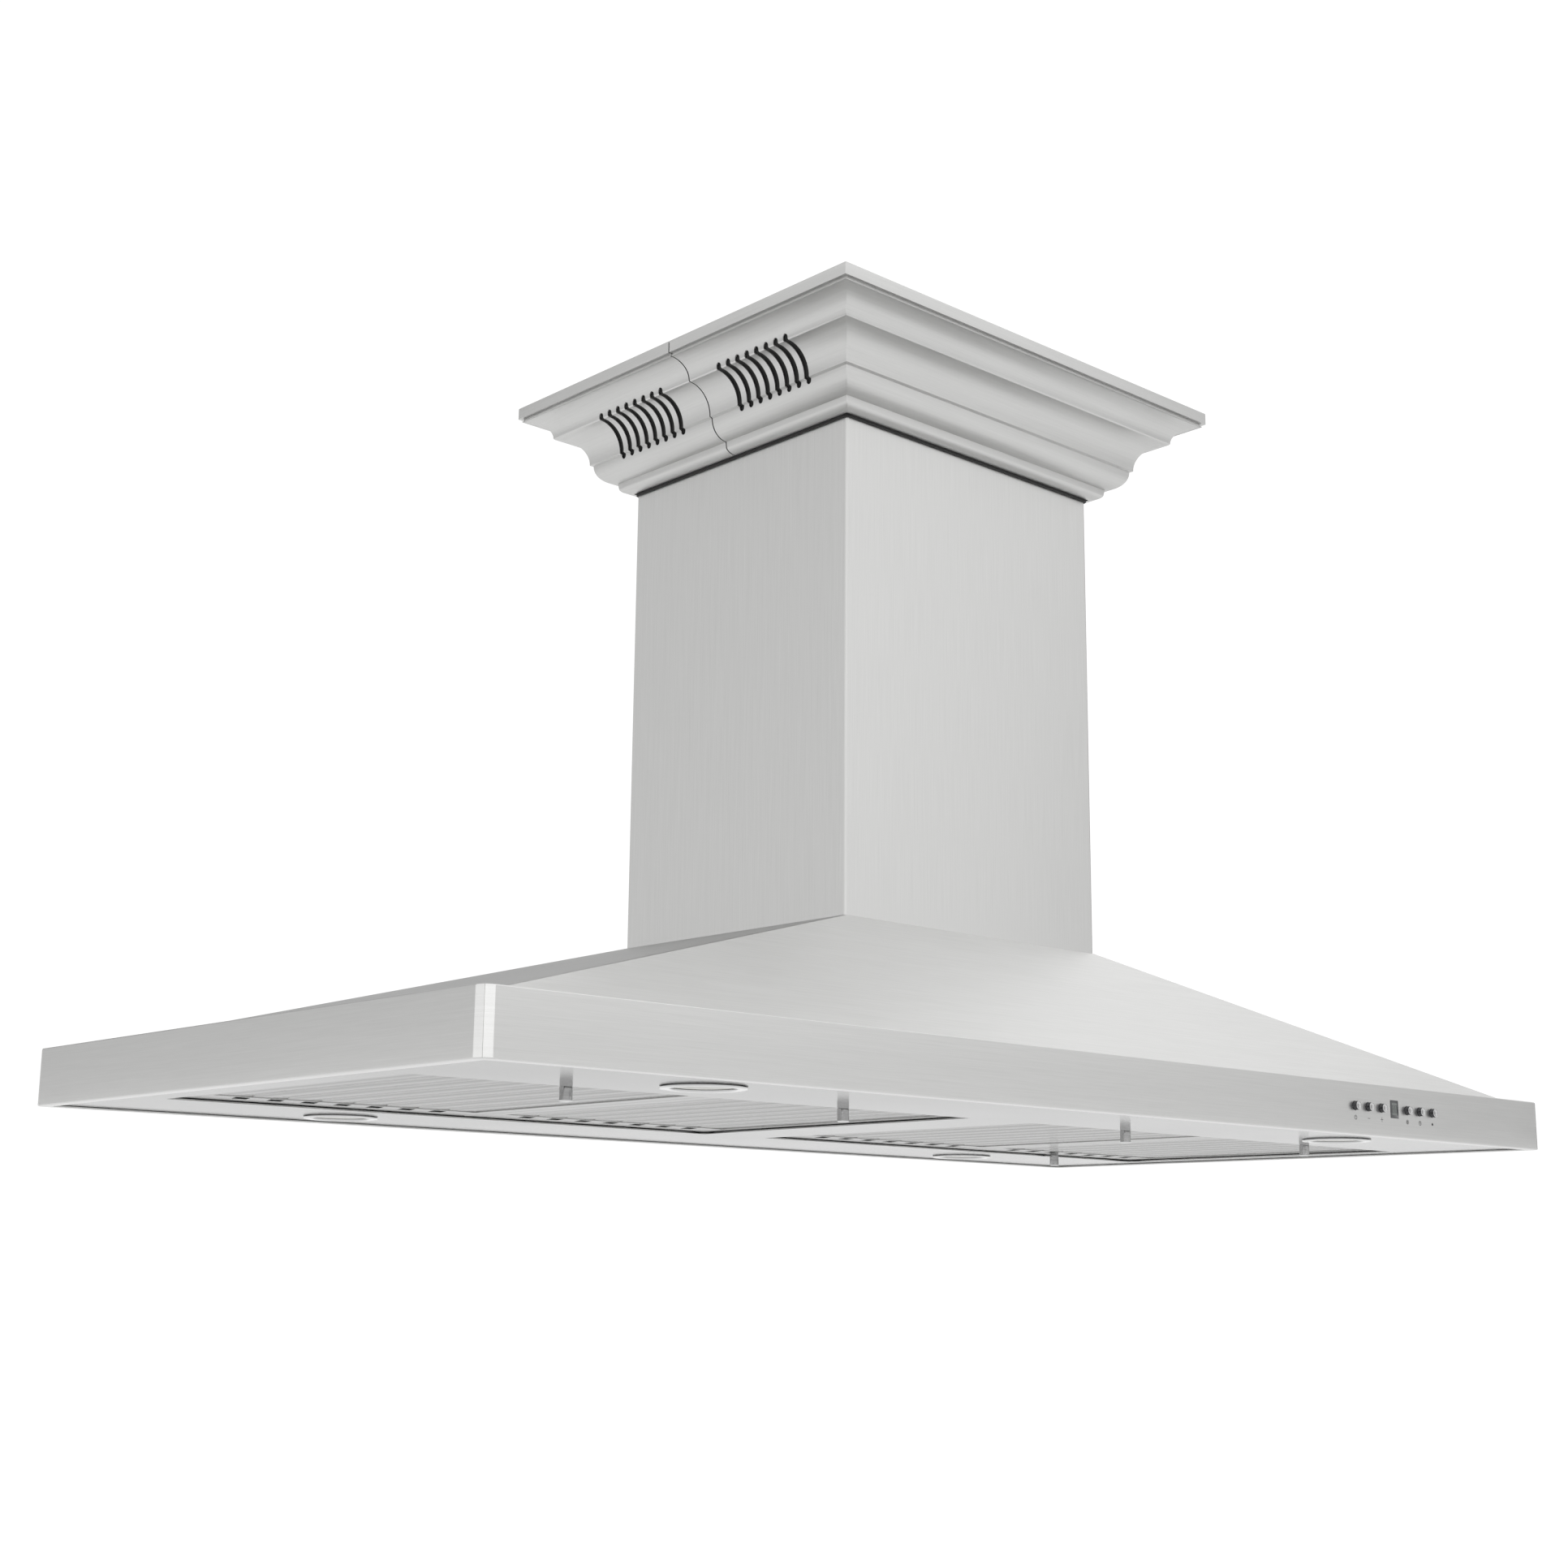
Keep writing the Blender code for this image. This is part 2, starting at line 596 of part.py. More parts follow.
def make_canopy_shell():
    """One skin: flange under the chimney, pyramid, ledge, upright lip and its return."""
    bend = LIP_BEND
    rings = [(FRAME_OPEN.x + SHELL_FLANGE, FRAME_OPEN.y + SHELL_FLANGE, FOLD_CORNER, CANOPY_TOP_Z),
             (LOWER.x + PYRAMID_FOOT, LOWER.y + PYRAMID_FOOT, FOLD_CORNER, CANOPY_TOP_Z),
             (HALF_W - LEDGE, HALF_D - LEDGE, FOLD_CORNER, LEDGE_Z),
             (HALF_W - bend, HALF_D - bend, LIP_CORNER - bend, LEDGE_Z),
             (HALF_W, HALF_D, LIP_CORNER, LEDGE_Z - bend),
             (HALF_W, HALF_D, LIP_CORNER, RIM_Z + bend),
             (HALF_W - bend, HALF_D - bend, LIP_CORNER - bend, RIM_Z),
             (HALF_W - LIP_RETURN, HALF_D - LIP_RETURN, FOLD_CORNER, RIM_Z)]
    rows = [at_height(rounded(x, y, radius), z) for x, y, radius, z in rings]
    shell = sheet("canopy_shell", rows, True, (0, 0, LEDGE_Z), SKIN, STEEL)
    for k, x in enumerate(BUTTON_X):
        cut(shell, rod("button_hole_%d" % k, BUTTON_RADIUS + GAP, CUT_DEPTH, (x, -HALF_D, control_z()),
                       None, FACE_FRONT))
    wide, tall = DISPLAY_SIZE
    x = CONTROL_X[DISPLAY_PLACE]
    cut(shell, box("display_hole", (x - wide / 2, -HALF_D - CUT_DEPTH / 2, control_z() - tall / 2),
                   (x + wide / 2, -HALF_D + CUT_DEPTH / 2, control_z() + tall / 2)))
    return shell


def lamp_places():
    x, y = HALF_W - LAMP_INSET[0], HALF_D - LAMP_INSET[1]
    return (("front_left", -x, -y), ("front_right", x, -y), ("back_left", -x, y), ("back_right", x, y))


def make_filter_pan():
    """Flat sheet in the bottom of the canopy, open at the filters and the lamps."""
    bank_x = (BANK_OUT + BANK_IN) / 2
    banks = [rectangle((BANK_OUT - BANK_IN) / 2, BANK_HALF_Y, (side * bank_x, 0)) for side in (-1, 1)]
    lamps = [circle(LAMP_RADIUS + BEZEL_WALL + GAP * 2, (x, y)) for _, x, y in lamp_places()]
    edge = SKIN + GAP * 2
    outline = rounded(HALF_W - edge, HALF_D - edge, LIP_CORNER)
    return plate("filter_pan", [outline, *banks, *lamps], SKIN, STEEL, (0, 0, PAN_Z))


def filter_mesh():
    """Baffle filter: channel rails round two staggered layers of strips.

    Its origin is on its hinge line, the lower edge of its back rail.
    """
    half = FILTER_WIDTH / 2
    frame = box("baffle_filter", (-half, -FILTER_LENGTH, 0), (half, 0, FILTER_THICK), STEEL)
    wall = BAFFLE_STEEL
    cut(frame, box("rail_hollow", (wall - half, wall - FILTER_LENGTH, wall),
                   (half - wall, -wall, FILTER_THICK - wall)))
    inner = half - FILTER_BORDER
    cut(frame, box("filter_window", (-inner, FILTER_BORDER - FILTER_LENGTH, -wall),
                   (inner, -FILTER_BORDER, FILTER_THICK + wall)))
    count = round(2 * inner / BAFFLE_PITCH)
    pitch = 2 * inner / count
    end = FILTER_BORDER / 2
    strips = []
    for k in range(count):
        x = -inner + pitch * (k + 0.5)
        wide = pitch * BAFFLE_SHARE / 2
        strips.append(((x - wide, end - FILTER_LENGTH, wall / 2), (x + wide, -end, wall * 1.5)))
        if k:
            gap = x - pitch / 2
            strips.append(((gap - wide * 0.7, end - FILTER_LENGTH, FILTER_THICK - wall * 1.5),
                           (gap + wide * 0.7, -end, FILTER_THICK - wall / 2)))
    cut(frame, boxes("baffles", strips), 'UNION')
    mesh = baked(frame)
    mesh.transform(Matrix.Translation((0, -FILTER_LENGTH / 2, FILTER_THICK / 2)))
    return mesh


def make_filters(hood):
    """Four filters that swing down about their back edges, each with a pull knob."""
    body = filter_mesh()
    stem = KNOB_RADIUS * 0.6
    edge = EDGE_BREAK
    knob = baked(turned("filter_knob",
                        [(0, 0), (stem, 0), (stem, -KNOB_NECK), (KNOB_RADIUS, -KNOB_NECK - edge),
                         (KNOB_RADIUS, -KNOB_DROP + edge), (KNOB_RADIUS - edge, -KNOB_DROP),
                         (0, -KNOB_DROP)], False, BRIGHT))
    step = FILTER_WIDTH + FILTER_GAP
    first = BANK_IN + FILTER_GAP + FILTER_WIDTH / 2
    hinge_y = BANK_HALF_Y - FILTER_GAP
    near = hinge_y - FILTER_LENGTH + FILTER_BORDER / 2      # on the front rail
    far = hinge_y - FILTER_BORDER / 2                       # on the rail by the hinge
    for where, x, pulls in (("left_outer", -first - step, (("", near),)),
                            ("left_inner", -first, (("", near),)),
                            ("right_inner", first, (("", near),)),
                            ("right_outer", first + step, (("", near), ("_back", far)))):
        swing = pivot("filter_hinge_" + where, (x, hinge_y, FILTER_Z), hood)
        carry(swing, add("baffle_filter_" + where, body, STEEL, (x, hinge_y, FILTER_Z)))
        for end, y in pulls:
            carry(swing, add("filter_knob_" + where + end, knob, BRIGHT, (x, y, FILTER_Z - GAP)))


def make_lamps():
    """Recessed lamps: a bezel through the pan from below and a round LED module in it."""
    outer = LAMP_RADIUS + BEZEL_WALL
    top = LAMP_HEIGHT
    bezel = baked(turned("lamp_bezel", [
        (outer, top), (outer, 0), (outer + BEZEL_FLANGE, 0), (outer + BEZEL_FLANGE, -BEZEL_THICK),
        (LAMP_RADIUS - BEZEL_LIP, -BEZEL_THICK), (LAMP_RADIUS - BEZEL_LIP, 0), (LAMP_RADIUS, 0),
        (LAMP_RADIUS, top)], True, BRIGHT))
    radius = LAMP_RADIUS - GAP
    module = baked(turned("lamp", [(0, top), (radius - LAMP_CHAMFER, top), (radius, top - LAMP_CHAMFER),
                                   (radius, GAP), (0, GAP)], False, GLOW))
    made = []
    for where, x, y in lamp_places():
        place = (x, y, PAN_Z - GAP)
        made.append(add("lamp_bezel_" + where, bezel, BRIGHT, place))
        made.append(add("lamp_" + where, module, GLOW, place))
    return made


def button_mesh():
    """Push button about its own +Z: cap, retaining flange behind the lip, and stem."""
    flange_out, flange_thick = BUTTON_FLANGE
    stem, stem_length = BUTTON_STEM
    back = -(SKIN + GAP)
    return baked(turned("button", [
        (0, BUTTON_PROUD), (BUTTON_RADIUS - EDGE_BREAK, BUTTON_PROUD),
        (BUTTON_RADIUS, BUTTON_PROUD - EDGE_BREAK),
        (BUTTON_RADIUS, back), (BUTTON_RADIUS + flange_out, back),
        (BUTTON_RADIUS + flange_out, back - flange_thick), (stem, back - flange_thick),
        (stem, back - flange_thick - stem_length), (0, back - flange_thick - stem_length)],
        False, BRIGHT))


def make_buttons(hood):
    mesh = button_mesh()
    for k, x in enumerate(BUTTON_X):
        button = add("button_%d" % (k + 1), mesh, BRIGHT, (x, -HALF_D, control_z()), FACE_FRONT)
        carry(hood, button)


def make_control_unit():
    """Display window in the lip, circuit board with its switches, and the rear cover."""
    wide, tall = DISPLAY_SIZE
    x, z = CONTROL_X[DISPLAY_PLACE], control_z()
    inside = -HALF_D + SKIN + GAP
    flange_out, flange_thick = DISPLAY_FLANGE
    window = box("display_window", (x - wide / 2 + GAP, -HALF_D - DISPLAY_PROUD, z - tall / 2 + GAP),
                 (x + wide / 2 - GAP, inside + flange_thick / 2, z + tall / 2 - GAP), GLASS)
    cut(window, box("display_flange", (x - wide / 2 - flange_out, inside, z - tall / 2 - flange_out),
                    (x + wide / 2 + flange_out, inside + flange_thick, z + tall / 2 + flange_out)), 'UNION')

    left = CONTROL_X[0] - COVER_END
    right = CONTROL_X[-1] + COVER_END
    low = PAN_TOP_Z + GAP
    high = low + COVER_HEIGHT
    back = inside + COVER_DEPTH
    cover = box("control_cover", (left, inside, low), (right, back, high), BLACK)
    wall = COVER_WALL
    cut(cover, box("cover_hollow", (left + wall, inside - wall, low + wall),
                   (right - wall, back - wall, high - wall)))

    stem_end = inside + BUTTON_FLANGE[1] + BUTTON_STEM[1]
    switch_front = stem_end + BUTTON_TRAVEL + GAP
    board_front = switch_front + SWITCH_SIZE[1]
    rim = wall + GAP
    board = box("control_board", (left + rim, board_front, low + rim),
                (right - rim, board_front + BOARD_THICK, high - rim), GREEN)
    half = SWITCH_SIZE[0] / 2
    switches = [((x - half, switch_front, z - half), (x + half, board_front + BOARD_THICK / 2, z + half))
                for x in BUTTON_X]
    cut(board, boxes("switches", switches), 'UNION')
    return [window, cover, board]


def make_power_boxes():
    """Junction box and lamp driver, side by side on the pan's back rail."""
    low = PAN_TOP_Z + GAP
    y = HALF_D - BOX_RAIL_Y
    wide, deep, tall = BOX_SIZE
    junction = box("junction_box", (-wide / 2, y - deep / 2, low), (wide / 2, y + deep / 2, low + tall), ZINC)
    rim, rim_height = LID_RIM
    lid = box("junction_lid", (-wide / 2 - rim, y - deep / 2 - rim, low + tall - rim_height),
              (wide / 2 + rim, y + deep / 2 + rim, low + tall + rim))
    cut(junction, lid, 'UNION')
    wall = BOX_STEEL
    cut(junction, box("junction_hollow", (wall - wide / 2, y - deep / 2 + wall, low - wall),
                      (wide / 2 - wall, y + deep / 2 - wall, low + tall - wall)))
    wide, deep, tall = DRIVER_SIZE
    driver = box("lamp_driver", (DRIVER_X - wide / 2, y - deep / 2, low),
                 (DRIVER_X + wide / 2, y + deep / 2, low + tall), BLACK)
    soften(driver, CASE_EDGE)
    return [junction, driver]


# ---- Blower: housing, motor, impellers, collar and backdraft flaps -----------------------------


def make_lower_frame():
    return plate("lower_frame", [rectangle(*FRAME_OUT), rectangle(*FRAME_OPEN)], FRAME_STEEL, ZINC,
                 (0, 0, FRAME_Z))


def make_blower_housing():
    """Trough-shaped scroll open at the top, with an inlet in each end and two ears."""
    inner = SCROLL_RADIUS - SCROLL_WALL
    axis = (0, 0, SCROLL_Z)
    length = 2 * SCROLL_HALF
    housing = rod("blower_housing", SCROLL_RADIUS, length, axis, ZINC, FACE_RIGHT)
    neck = box("housing_neck", (-SCROLL_HALF, -SCROLL_RADIUS, SCROLL_Z), (SCROLL_HALF, SCROLL_RADIUS, NECK_Z))
    ear_x, ear_y = FRAME_OPEN.x + SCROLL_EAR, FRAME_OPEN.y - EAR_INSET
    ears = box("housing_ears", (-ear_x, -ear_y, POST_FOOT_Z), (ear_x, ear_y, POST_FOOT_Z + FRAME_STEEL))
    cut(housing, neck, 'UNION')
    cut(housing, ears, 'UNION')
    cut(housing, rod("scroll_hollow", inner, length - 2 * SCROLL_WALL, axis, None, FACE_RIGHT))
    end = SCROLL_HALF - SCROLL_WALL
    cut(housing, box("neck_hollow", (-end, -inner, SCROLL_Z), (end, inner, NECK_Z + CUT_DEPTH)))
    cut(housing, rod("inlets", SCROLL_RADIUS * INLET_SHARE, length + CUT_DEPTH, axis, None, FACE_RIGHT))
    return housing


def make_motor():
    """Motor in the middle of the scroll, on a round carrier plate, bored for its shaft."""
    motor = rod("blower_motor", MOTOR_RADIUS, MOTOR_LENGTH, (0, 0, SCROLL_Z), BLACK, FACE_RIGHT)
    carrier = rod("motor_carrier", SCROLL_RADIUS - SCROLL_WALL - 2 * GAP, CARRIER_THICK, (0, 0, SCROLL_Z),
                  None, FACE_RIGHT)
    cut(motor, carrier, 'UNION')
    cut(motor, rod("motor_bore", SHAFT_RADIUS + GAP, MOTOR_LENGTH + CUT_DEPTH, (0, 0, SCROLL_Z),
                   None, FACE_RIGHT))
    return motor


def impeller_mesh(length):
    """Squirrel-cage wheel about +Z: disc and hub at z = 0, slotted wall, rim at the end."""
    outer = SCROLL_RADIUS - SCROLL_WALL - IMPELLER_GAP
    inner = outer - IMPELLER_WALL
    bore = SHAFT_RADIUS + GAP
    wheel = turned("impeller", [
        (outer, length), (outer, 0), (bore, 0), (bore, IMPELLER_DISC * 4),
        (HUB_RADIUS, IMPELLER_DISC * 4), (HUB_RADIUS, IMPELLER_DISC), (inner, IMPELLER_DISC),
        (inner, length)], True, ZINC)
    bm = bmesh.new()
    wide = 2 * math.pi * inner / IMPELLER_SLOTS * 0.7
    for k in range(IMPELLER_SLOTS):
        made = bmesh.ops.create_cube(bm, size=1.0)["verts"]
        low, high = IMPELLER_DISC * 2, length - IMPELLER_RIM
        bmesh.ops.scale(bm, vec=(IMPELLER_WALL * 2, wide, high - low), verts=made)
        bmesh.ops.translate(bm, vec=((outer + inner) / 2, 0, (low + high) / 2), verts=made)
        turn = Matrix.Rotation(2 * math.pi * k / IMPELLER_SLOTS, 3, 'Z')
        bmesh.ops.rotate(bm, cent=(0, 0, 0), matrix=turn, verts=made)
    cut(wheel, add("blade_slots", mesh_from("blade_slots", bm)))
    return baked(wheel)


def make_rotor(hood):
    """Shaft with a wheel on each side of the motor; all three turn together."""
    end = SCROLL_HALF - SCROLL_WALL - ROTOR_END_GAP
    start = MOTOR_LENGTH / 2 + ROTOR_END_GAP
    spin = pivot("rotor_axis", (0, 0, SCROLL_Z), hood)
    mesh = impeller_mesh(end - start)
    right = add("impeller_right", mesh, ZINC, (start, 0, SCROLL_Z), FACE_RIGHT)
    left = add("impeller_left", mesh, ZINC, (-start, 0, SCROLL_Z), (0, -math.pi / 2, 0))
    shaft = rod("motor_shaft", SHAFT_RADIUS, 2 * end, (0, 0, SCROLL_Z), BRIGHT, FACE_RIGHT)
    carry(spin, right, left, shaft)


def flap_axle_z():
    return COLLAR_Z + COLLAR_PLATE + FLAP_AXLE_Z


def make_duct_collar():
    """Round spigot on a flat plate over the blower's outlet, drilled for the flap axles."""
    collar = box("duct_collar", (-SCROLL_HALF, -SCROLL_RADIUS, COLLAR_Z),
                 (SCROLL_HALF, SCROLL_RADIUS, COLLAR_Z + COLLAR_PLATE), ZINC)
    middle = COLLAR_Z + COLLAR_HEIGHT / 2
    cut(collar, rod("spigot", COLLAR_RADIUS, COLLAR_HEIGHT, (0, 0, middle)), 'UNION')
    cut(collar, rod("spigot_bore", COLLAR_RADIUS - COLLAR_WALL, COLLAR_HEIGHT + CUT_DEPTH, (0, 0, middle)))
    for side in (-1, 1):
        cut(collar, rod("axle_hole", FLAP_AXLE + 2 * GAP, 3 * COLLAR_RADIUS,
                        (0, side * FLAP_AXLE_Y, flap_axle_z()), None, FACE_RIGHT))
    return collar


def make_flap(name, side, hood):
    """Half-round backdraft flap, closed by its weight, on an axle through the collar."""
    reach = COLLAR_RADIUS - COLLAR_WALL - FLAP_GAP
    start = math.asin((FLAP_AXLE_Y + FLAP_AXLE / 2) / reach)
    arc = [start + (math.pi - 2 * start) * k / FLAP_STEPS for k in range(FLAP_STEPS + 1)]
    outline = [(reach * math.cos(turn), side * (reach * math.sin(turn) - FLAP_AXLE_Y)) for turn in arc]
    mesh = baked(plate(name + "_leaf", [outline], FLAP_THICK, ZINC, (0, 0, -FLAP_THICK / 2)))
    welded = bmesh.new()
    welded.from_mesh(mesh)
    bmesh.ops.remove_doubles(welded, verts=welded.verts, dist=WELD)
    welded.to_mesh(mesh)
    welded.free()
    place = (0, side * FLAP_AXLE_Y, flap_axle_z())
    flap = rod(name, FLAP_AXLE, 2 * (COLLAR_RADIUS + FLAP_AXLE_PROUD), place, ZINC, FACE_RIGHT)
    cut(flap, add(name + "_blade", mesh, None, place), 'UNION')
    carry(hood, flap)


# ---- Assembly ----------------------------------------------------------------------------------

make_ceiling_plate()
make_crown("crown_front", -1)
make_crown("crown_rear", 1)
make_crown_clip("crown_clip_left", -1)
make_crown_clip("crown_clip_right", 1)
make_posts("upper_post", UPPER_POST, UPPER_TOP_Z, UPPER_TOP_Z - UPPER_END_Z, True)
make_chimney("upper_chimney", UPPER, UPPER_END_Z, UPPER_TOP_Z)
make_speaker("speaker_front", -1)
make_speaker("speaker_rear", 1)
make_audio_module()

hood_slide = pivot("hood_slide", (0, 0, CANOPY_TOP_Z))
carried = [make_canopy_shell(), make_filter_pan(), make_lower_frame(), make_blower_housing(), make_motor(),
           make_duct_collar()]
carried += make_chimney("lower_chimney", LOWER, CANOPY_TOP_Z + GAP, -CHIMNEY_TOP)
carried += make_posts("lower_post", LOWER_POST, POST_FOOT_Z, -LOWER_POST_TOP - POST_FOOT_Z, False)
carried += make_lamps() + make_control_unit() + make_power_boxes()
carry(hood_slide, *carried)
make_filters(hood_slide)
make_buttons(hood_slide)
make_rotor(hood_slide)
make_flap("damper_flap_front", -1, hood_slide)
make_flap("damper_flap_back", 1, hood_slide)
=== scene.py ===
"""Island range hood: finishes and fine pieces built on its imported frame.

Metres, +Z up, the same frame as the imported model: the ceiling is z = 0 and the front
with the controls faces -Y.
"""

import math

import bmesh
import bpy
from mathutils import Matrix, Vector


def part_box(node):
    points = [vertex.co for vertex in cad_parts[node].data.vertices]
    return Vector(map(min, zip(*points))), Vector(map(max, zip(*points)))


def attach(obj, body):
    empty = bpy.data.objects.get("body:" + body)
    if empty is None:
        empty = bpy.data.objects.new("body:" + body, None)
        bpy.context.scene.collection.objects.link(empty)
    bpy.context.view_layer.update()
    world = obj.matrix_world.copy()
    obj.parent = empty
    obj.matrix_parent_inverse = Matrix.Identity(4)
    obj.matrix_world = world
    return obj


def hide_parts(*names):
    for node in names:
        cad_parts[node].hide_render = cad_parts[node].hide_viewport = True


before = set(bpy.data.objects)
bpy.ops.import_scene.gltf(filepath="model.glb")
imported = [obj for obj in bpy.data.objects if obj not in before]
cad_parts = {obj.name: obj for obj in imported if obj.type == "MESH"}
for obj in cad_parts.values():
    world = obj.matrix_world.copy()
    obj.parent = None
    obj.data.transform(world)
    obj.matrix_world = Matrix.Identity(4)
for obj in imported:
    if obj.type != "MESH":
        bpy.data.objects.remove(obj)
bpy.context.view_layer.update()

# ---- Levels and half sizes, from the frame ----
shell_low, shell_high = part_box("canopy_shell")
HALF_W, HALF_D = shell_high.x, shell_high.y
RIM_Z, CANOPY_TOP_Z = shell_low.z, shell_high.z
cover_low, cover_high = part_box("lower_chimney_front")
LOWER = Vector((cover_high.x, -cover_low.y))
upper_low, upper_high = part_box("upper_chimney_front")
UPPER = Vector((upper_high.x, -upper_low.y))
CROWN_HEIGHT = -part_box("crown_front")[0].z
scroll_low, scroll_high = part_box("blower_motor")
SCROLL_Z = (scroll_low.z + scroll_high.z) / 2
frame_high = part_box("lower_frame")[1]
plate_low, plate_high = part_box("ceiling_plate")
collar_low, collar_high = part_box("duct_collar")

# ---- Sheet metal and hardware sizes ----
SKIN = 0.001
GAP = 0.0003
BEND = 0.0025                 # chimney corners
LIP_HEIGHT = 0.044
LIP_CORNER = 0.0085
LIP_BEND = 0.0012
LIP_RETURN = 0.010
LEDGE = 0.019
LEDGE_Z = RIM_Z + LIP_HEIGHT
FOLD = 0.0022                 # plan radius of the pyramid's folded hips
PYRAMID_FOOT = 0.0015
FLANGE_INSET = 0.024          # from the lower frame's edge to the top flange's inner edge
SEAM_DEPTH = 0.00035          # dressed weld down the middle of each lip corner

# the crown's parts from the ceiling down: (kind, inward, down)
CROWN_PARTS = (("flat", 0.0, 0.0104), ("flat", 0.0035, 0.0002), ("flat", 0.0, 0.0017),
               ("flat", -0.0010, 0.0002), ("flat", 0.0, 0.0005), ("cove", 0.0205, 0.016),
               ("flat", 0.0010, 0.0010), ("cove", 0.0230, 0.025), ("flat", 0.0025, 0.0010),
               ("round", 0.0160, 0.017), ("flat", 0.0006, 0.004), ("round", 0.0099, 0.0055))
CROWN_GAP = 0.0025
CROWN_FLANGE = 0.012
CROWN_REACH = CROWN_GAP + sum(inward for _, inward, _ in CROWN_PARTS)
CROWN_MITRE = 0.0007          # radius of the crown's mitred corners
SEAM_HALF = 0.0006            # half the joint between the crown's halves
VENT_SLOTS, VENT_PITCH, VENT_WIDTH = 8, 0.0117, 0.0055
VENT_GROUP_Y, VENT_TOP, VENT_BOTTOM = 0.079, 0.0245, 0.060
CLOTH_IN, CLOTH_UP, CLOTH_THICK = 0.0018, 0.0012, 0.0004
SHADE_SLEEVE_DROP = 0.0020             # the black sleeve round the chimney shows this far below the crown, as painted shade of the gap

CONTROL_PITCH = 0.0198
BUTTON_RADIUS, BUTTON_PROUD = 0.00375, 0.0040

BAFFLE_COUNT = 8
RAIL = 0.014                  # width of a filter's frame
END_RAIL = 0.040              # and at its rear end, where the grease drains out
BAFFLE_STEEL = 0.0006
BAFFLE_WALL = 0.0055          # how far a baffle's sides stand up
BAFFLE_SHARE = 0.83           # of the pitch, covered by a lower baffle
UPPER_SHARE = 0.7             # of a lower baffle's width, for the upper one
SLOT_WIDE, SLOT_LONG, SLOT_LEAN = 0.0120, 0.016, 0.0025
KNOB_RADIUS, KNOB_DROP = 0.0045, 0.0110

LAMP_OPENING, LAMP_BORE, LAMP_TUBE = 0.0225, 0.0245, 0.0265
LAMP_FINS = 20
INLET_RADIUS, SCROLL_STEEL, EAR_THICK = 0.0499, 0.0015, 0.002
BLADES, SHAFT_RADIUS = 42, 0.004
BLADE_CHORD, BLADE_BOW, BLADE_STEEL = 0.0072, 0.0022, 0.0005
SPIGOT_WALL, COLLAR_PLATE, AXLE_BORE = 0.0012, 0.0015, 0.0026
ANCHOR_INSET = 0.020          # ceiling anchors, from the plate's edges
DUCT_HOLE, ANCHOR_HOLE = 0.085, 0.0045


# ---- Nodes and colours ----
def linear(colour):
    """An sRGB hex value as linear red, green, blue and a full alpha."""
    parts = [int(colour[k:k + 2], 16) / 255 for k in (1, 3, 5)]
    return [c / 12.92 if c <= 0.04045 else ((c + 0.055) / 1.055) ** 2.4 for c in parts] + [1.0]


def add_node(tree, kind, settings=None, links=None):
    """Adds a node, sets its properties and sockets, and links sources to its sockets."""
    node = tree.nodes.new(kind)
    for name, value in (settings or {}).items():
        socket = node.inputs[name] if isinstance(name, int) else node.inputs.get(name)
        if socket is None:
            setattr(node, name, value)
        else:
            socket.default_value = value
    for name, source in (links or {}).items():
        tree.links.new(source, node.inputs[name])
    return node


def new_finish(name, sockets):
    """A material with its Principled shader's own sockets set, and its place on the object."""
    material = bpy.data.materials.new(name)
    material.use_nodes = True
    shader = material.node_tree.nodes["Principled BSDF"]
    for label, value in sockets.items():
        shader.inputs[label].default_value = value
    place = add_node(material.node_tree, "ShaderNodeTexCoord").outputs["Object"]
    return material, material.node_tree, shader, place


def two_tones(tree, shader, source, dark, light, low=0.3, high=0.7):
    """Runs the base colour between two hex values by a pattern's value."""
    spread = add_node(tree, "ShaderNodeMapRange", {"From Min": low, "From Max": high}, {"Value": source})
    mix = add_node(tree, "ShaderNodeMix", {"data_type": "RGBA", 6: linear(dark), 7: linear(light)},
                   {0: spread.outputs[0]})
    tree.links.new(mix.outputs[2], shader.inputs["Base Color"])


def gloss_between(tree, shader, source, smooth, rough, low=0.3, high=0.7):
    """Runs the roughness between two values by a pattern's value."""
    spread = add_node(tree, "ShaderNodeMapRange",
                      {"From Min": low, "From Max": high, "To Min": smooth, "To Max": rough},
                      {"Value": source})
    tree.links.new(spread.outputs[0], shader.inputs["Roughness"])


def noise_value(tree, place, scale, detail, breakup=0.5):
    """The value of a noise over a place."""
    return add_node(tree, "ShaderNodeTexNoise", {"Scale": scale, "Detail": detail, "Roughness": breakup},
                    {"Vector": place}).outputs[0]


def relief(tree, shader, source, height, strength):
    """Raises the surface by a pattern's value."""
    bump = add_node(tree, "ShaderNodeBump", {"Distance": height, "Strength": strength}, {"Height": source})
    tree.links.new(bump.outputs[0], shader.inputs["Normal"])


# ---- Finishes ----
FINE = 0.0009             # a real No. 4 scratch is 0.05 mm wide: drawn wider so that it shows
LONG = 0.070


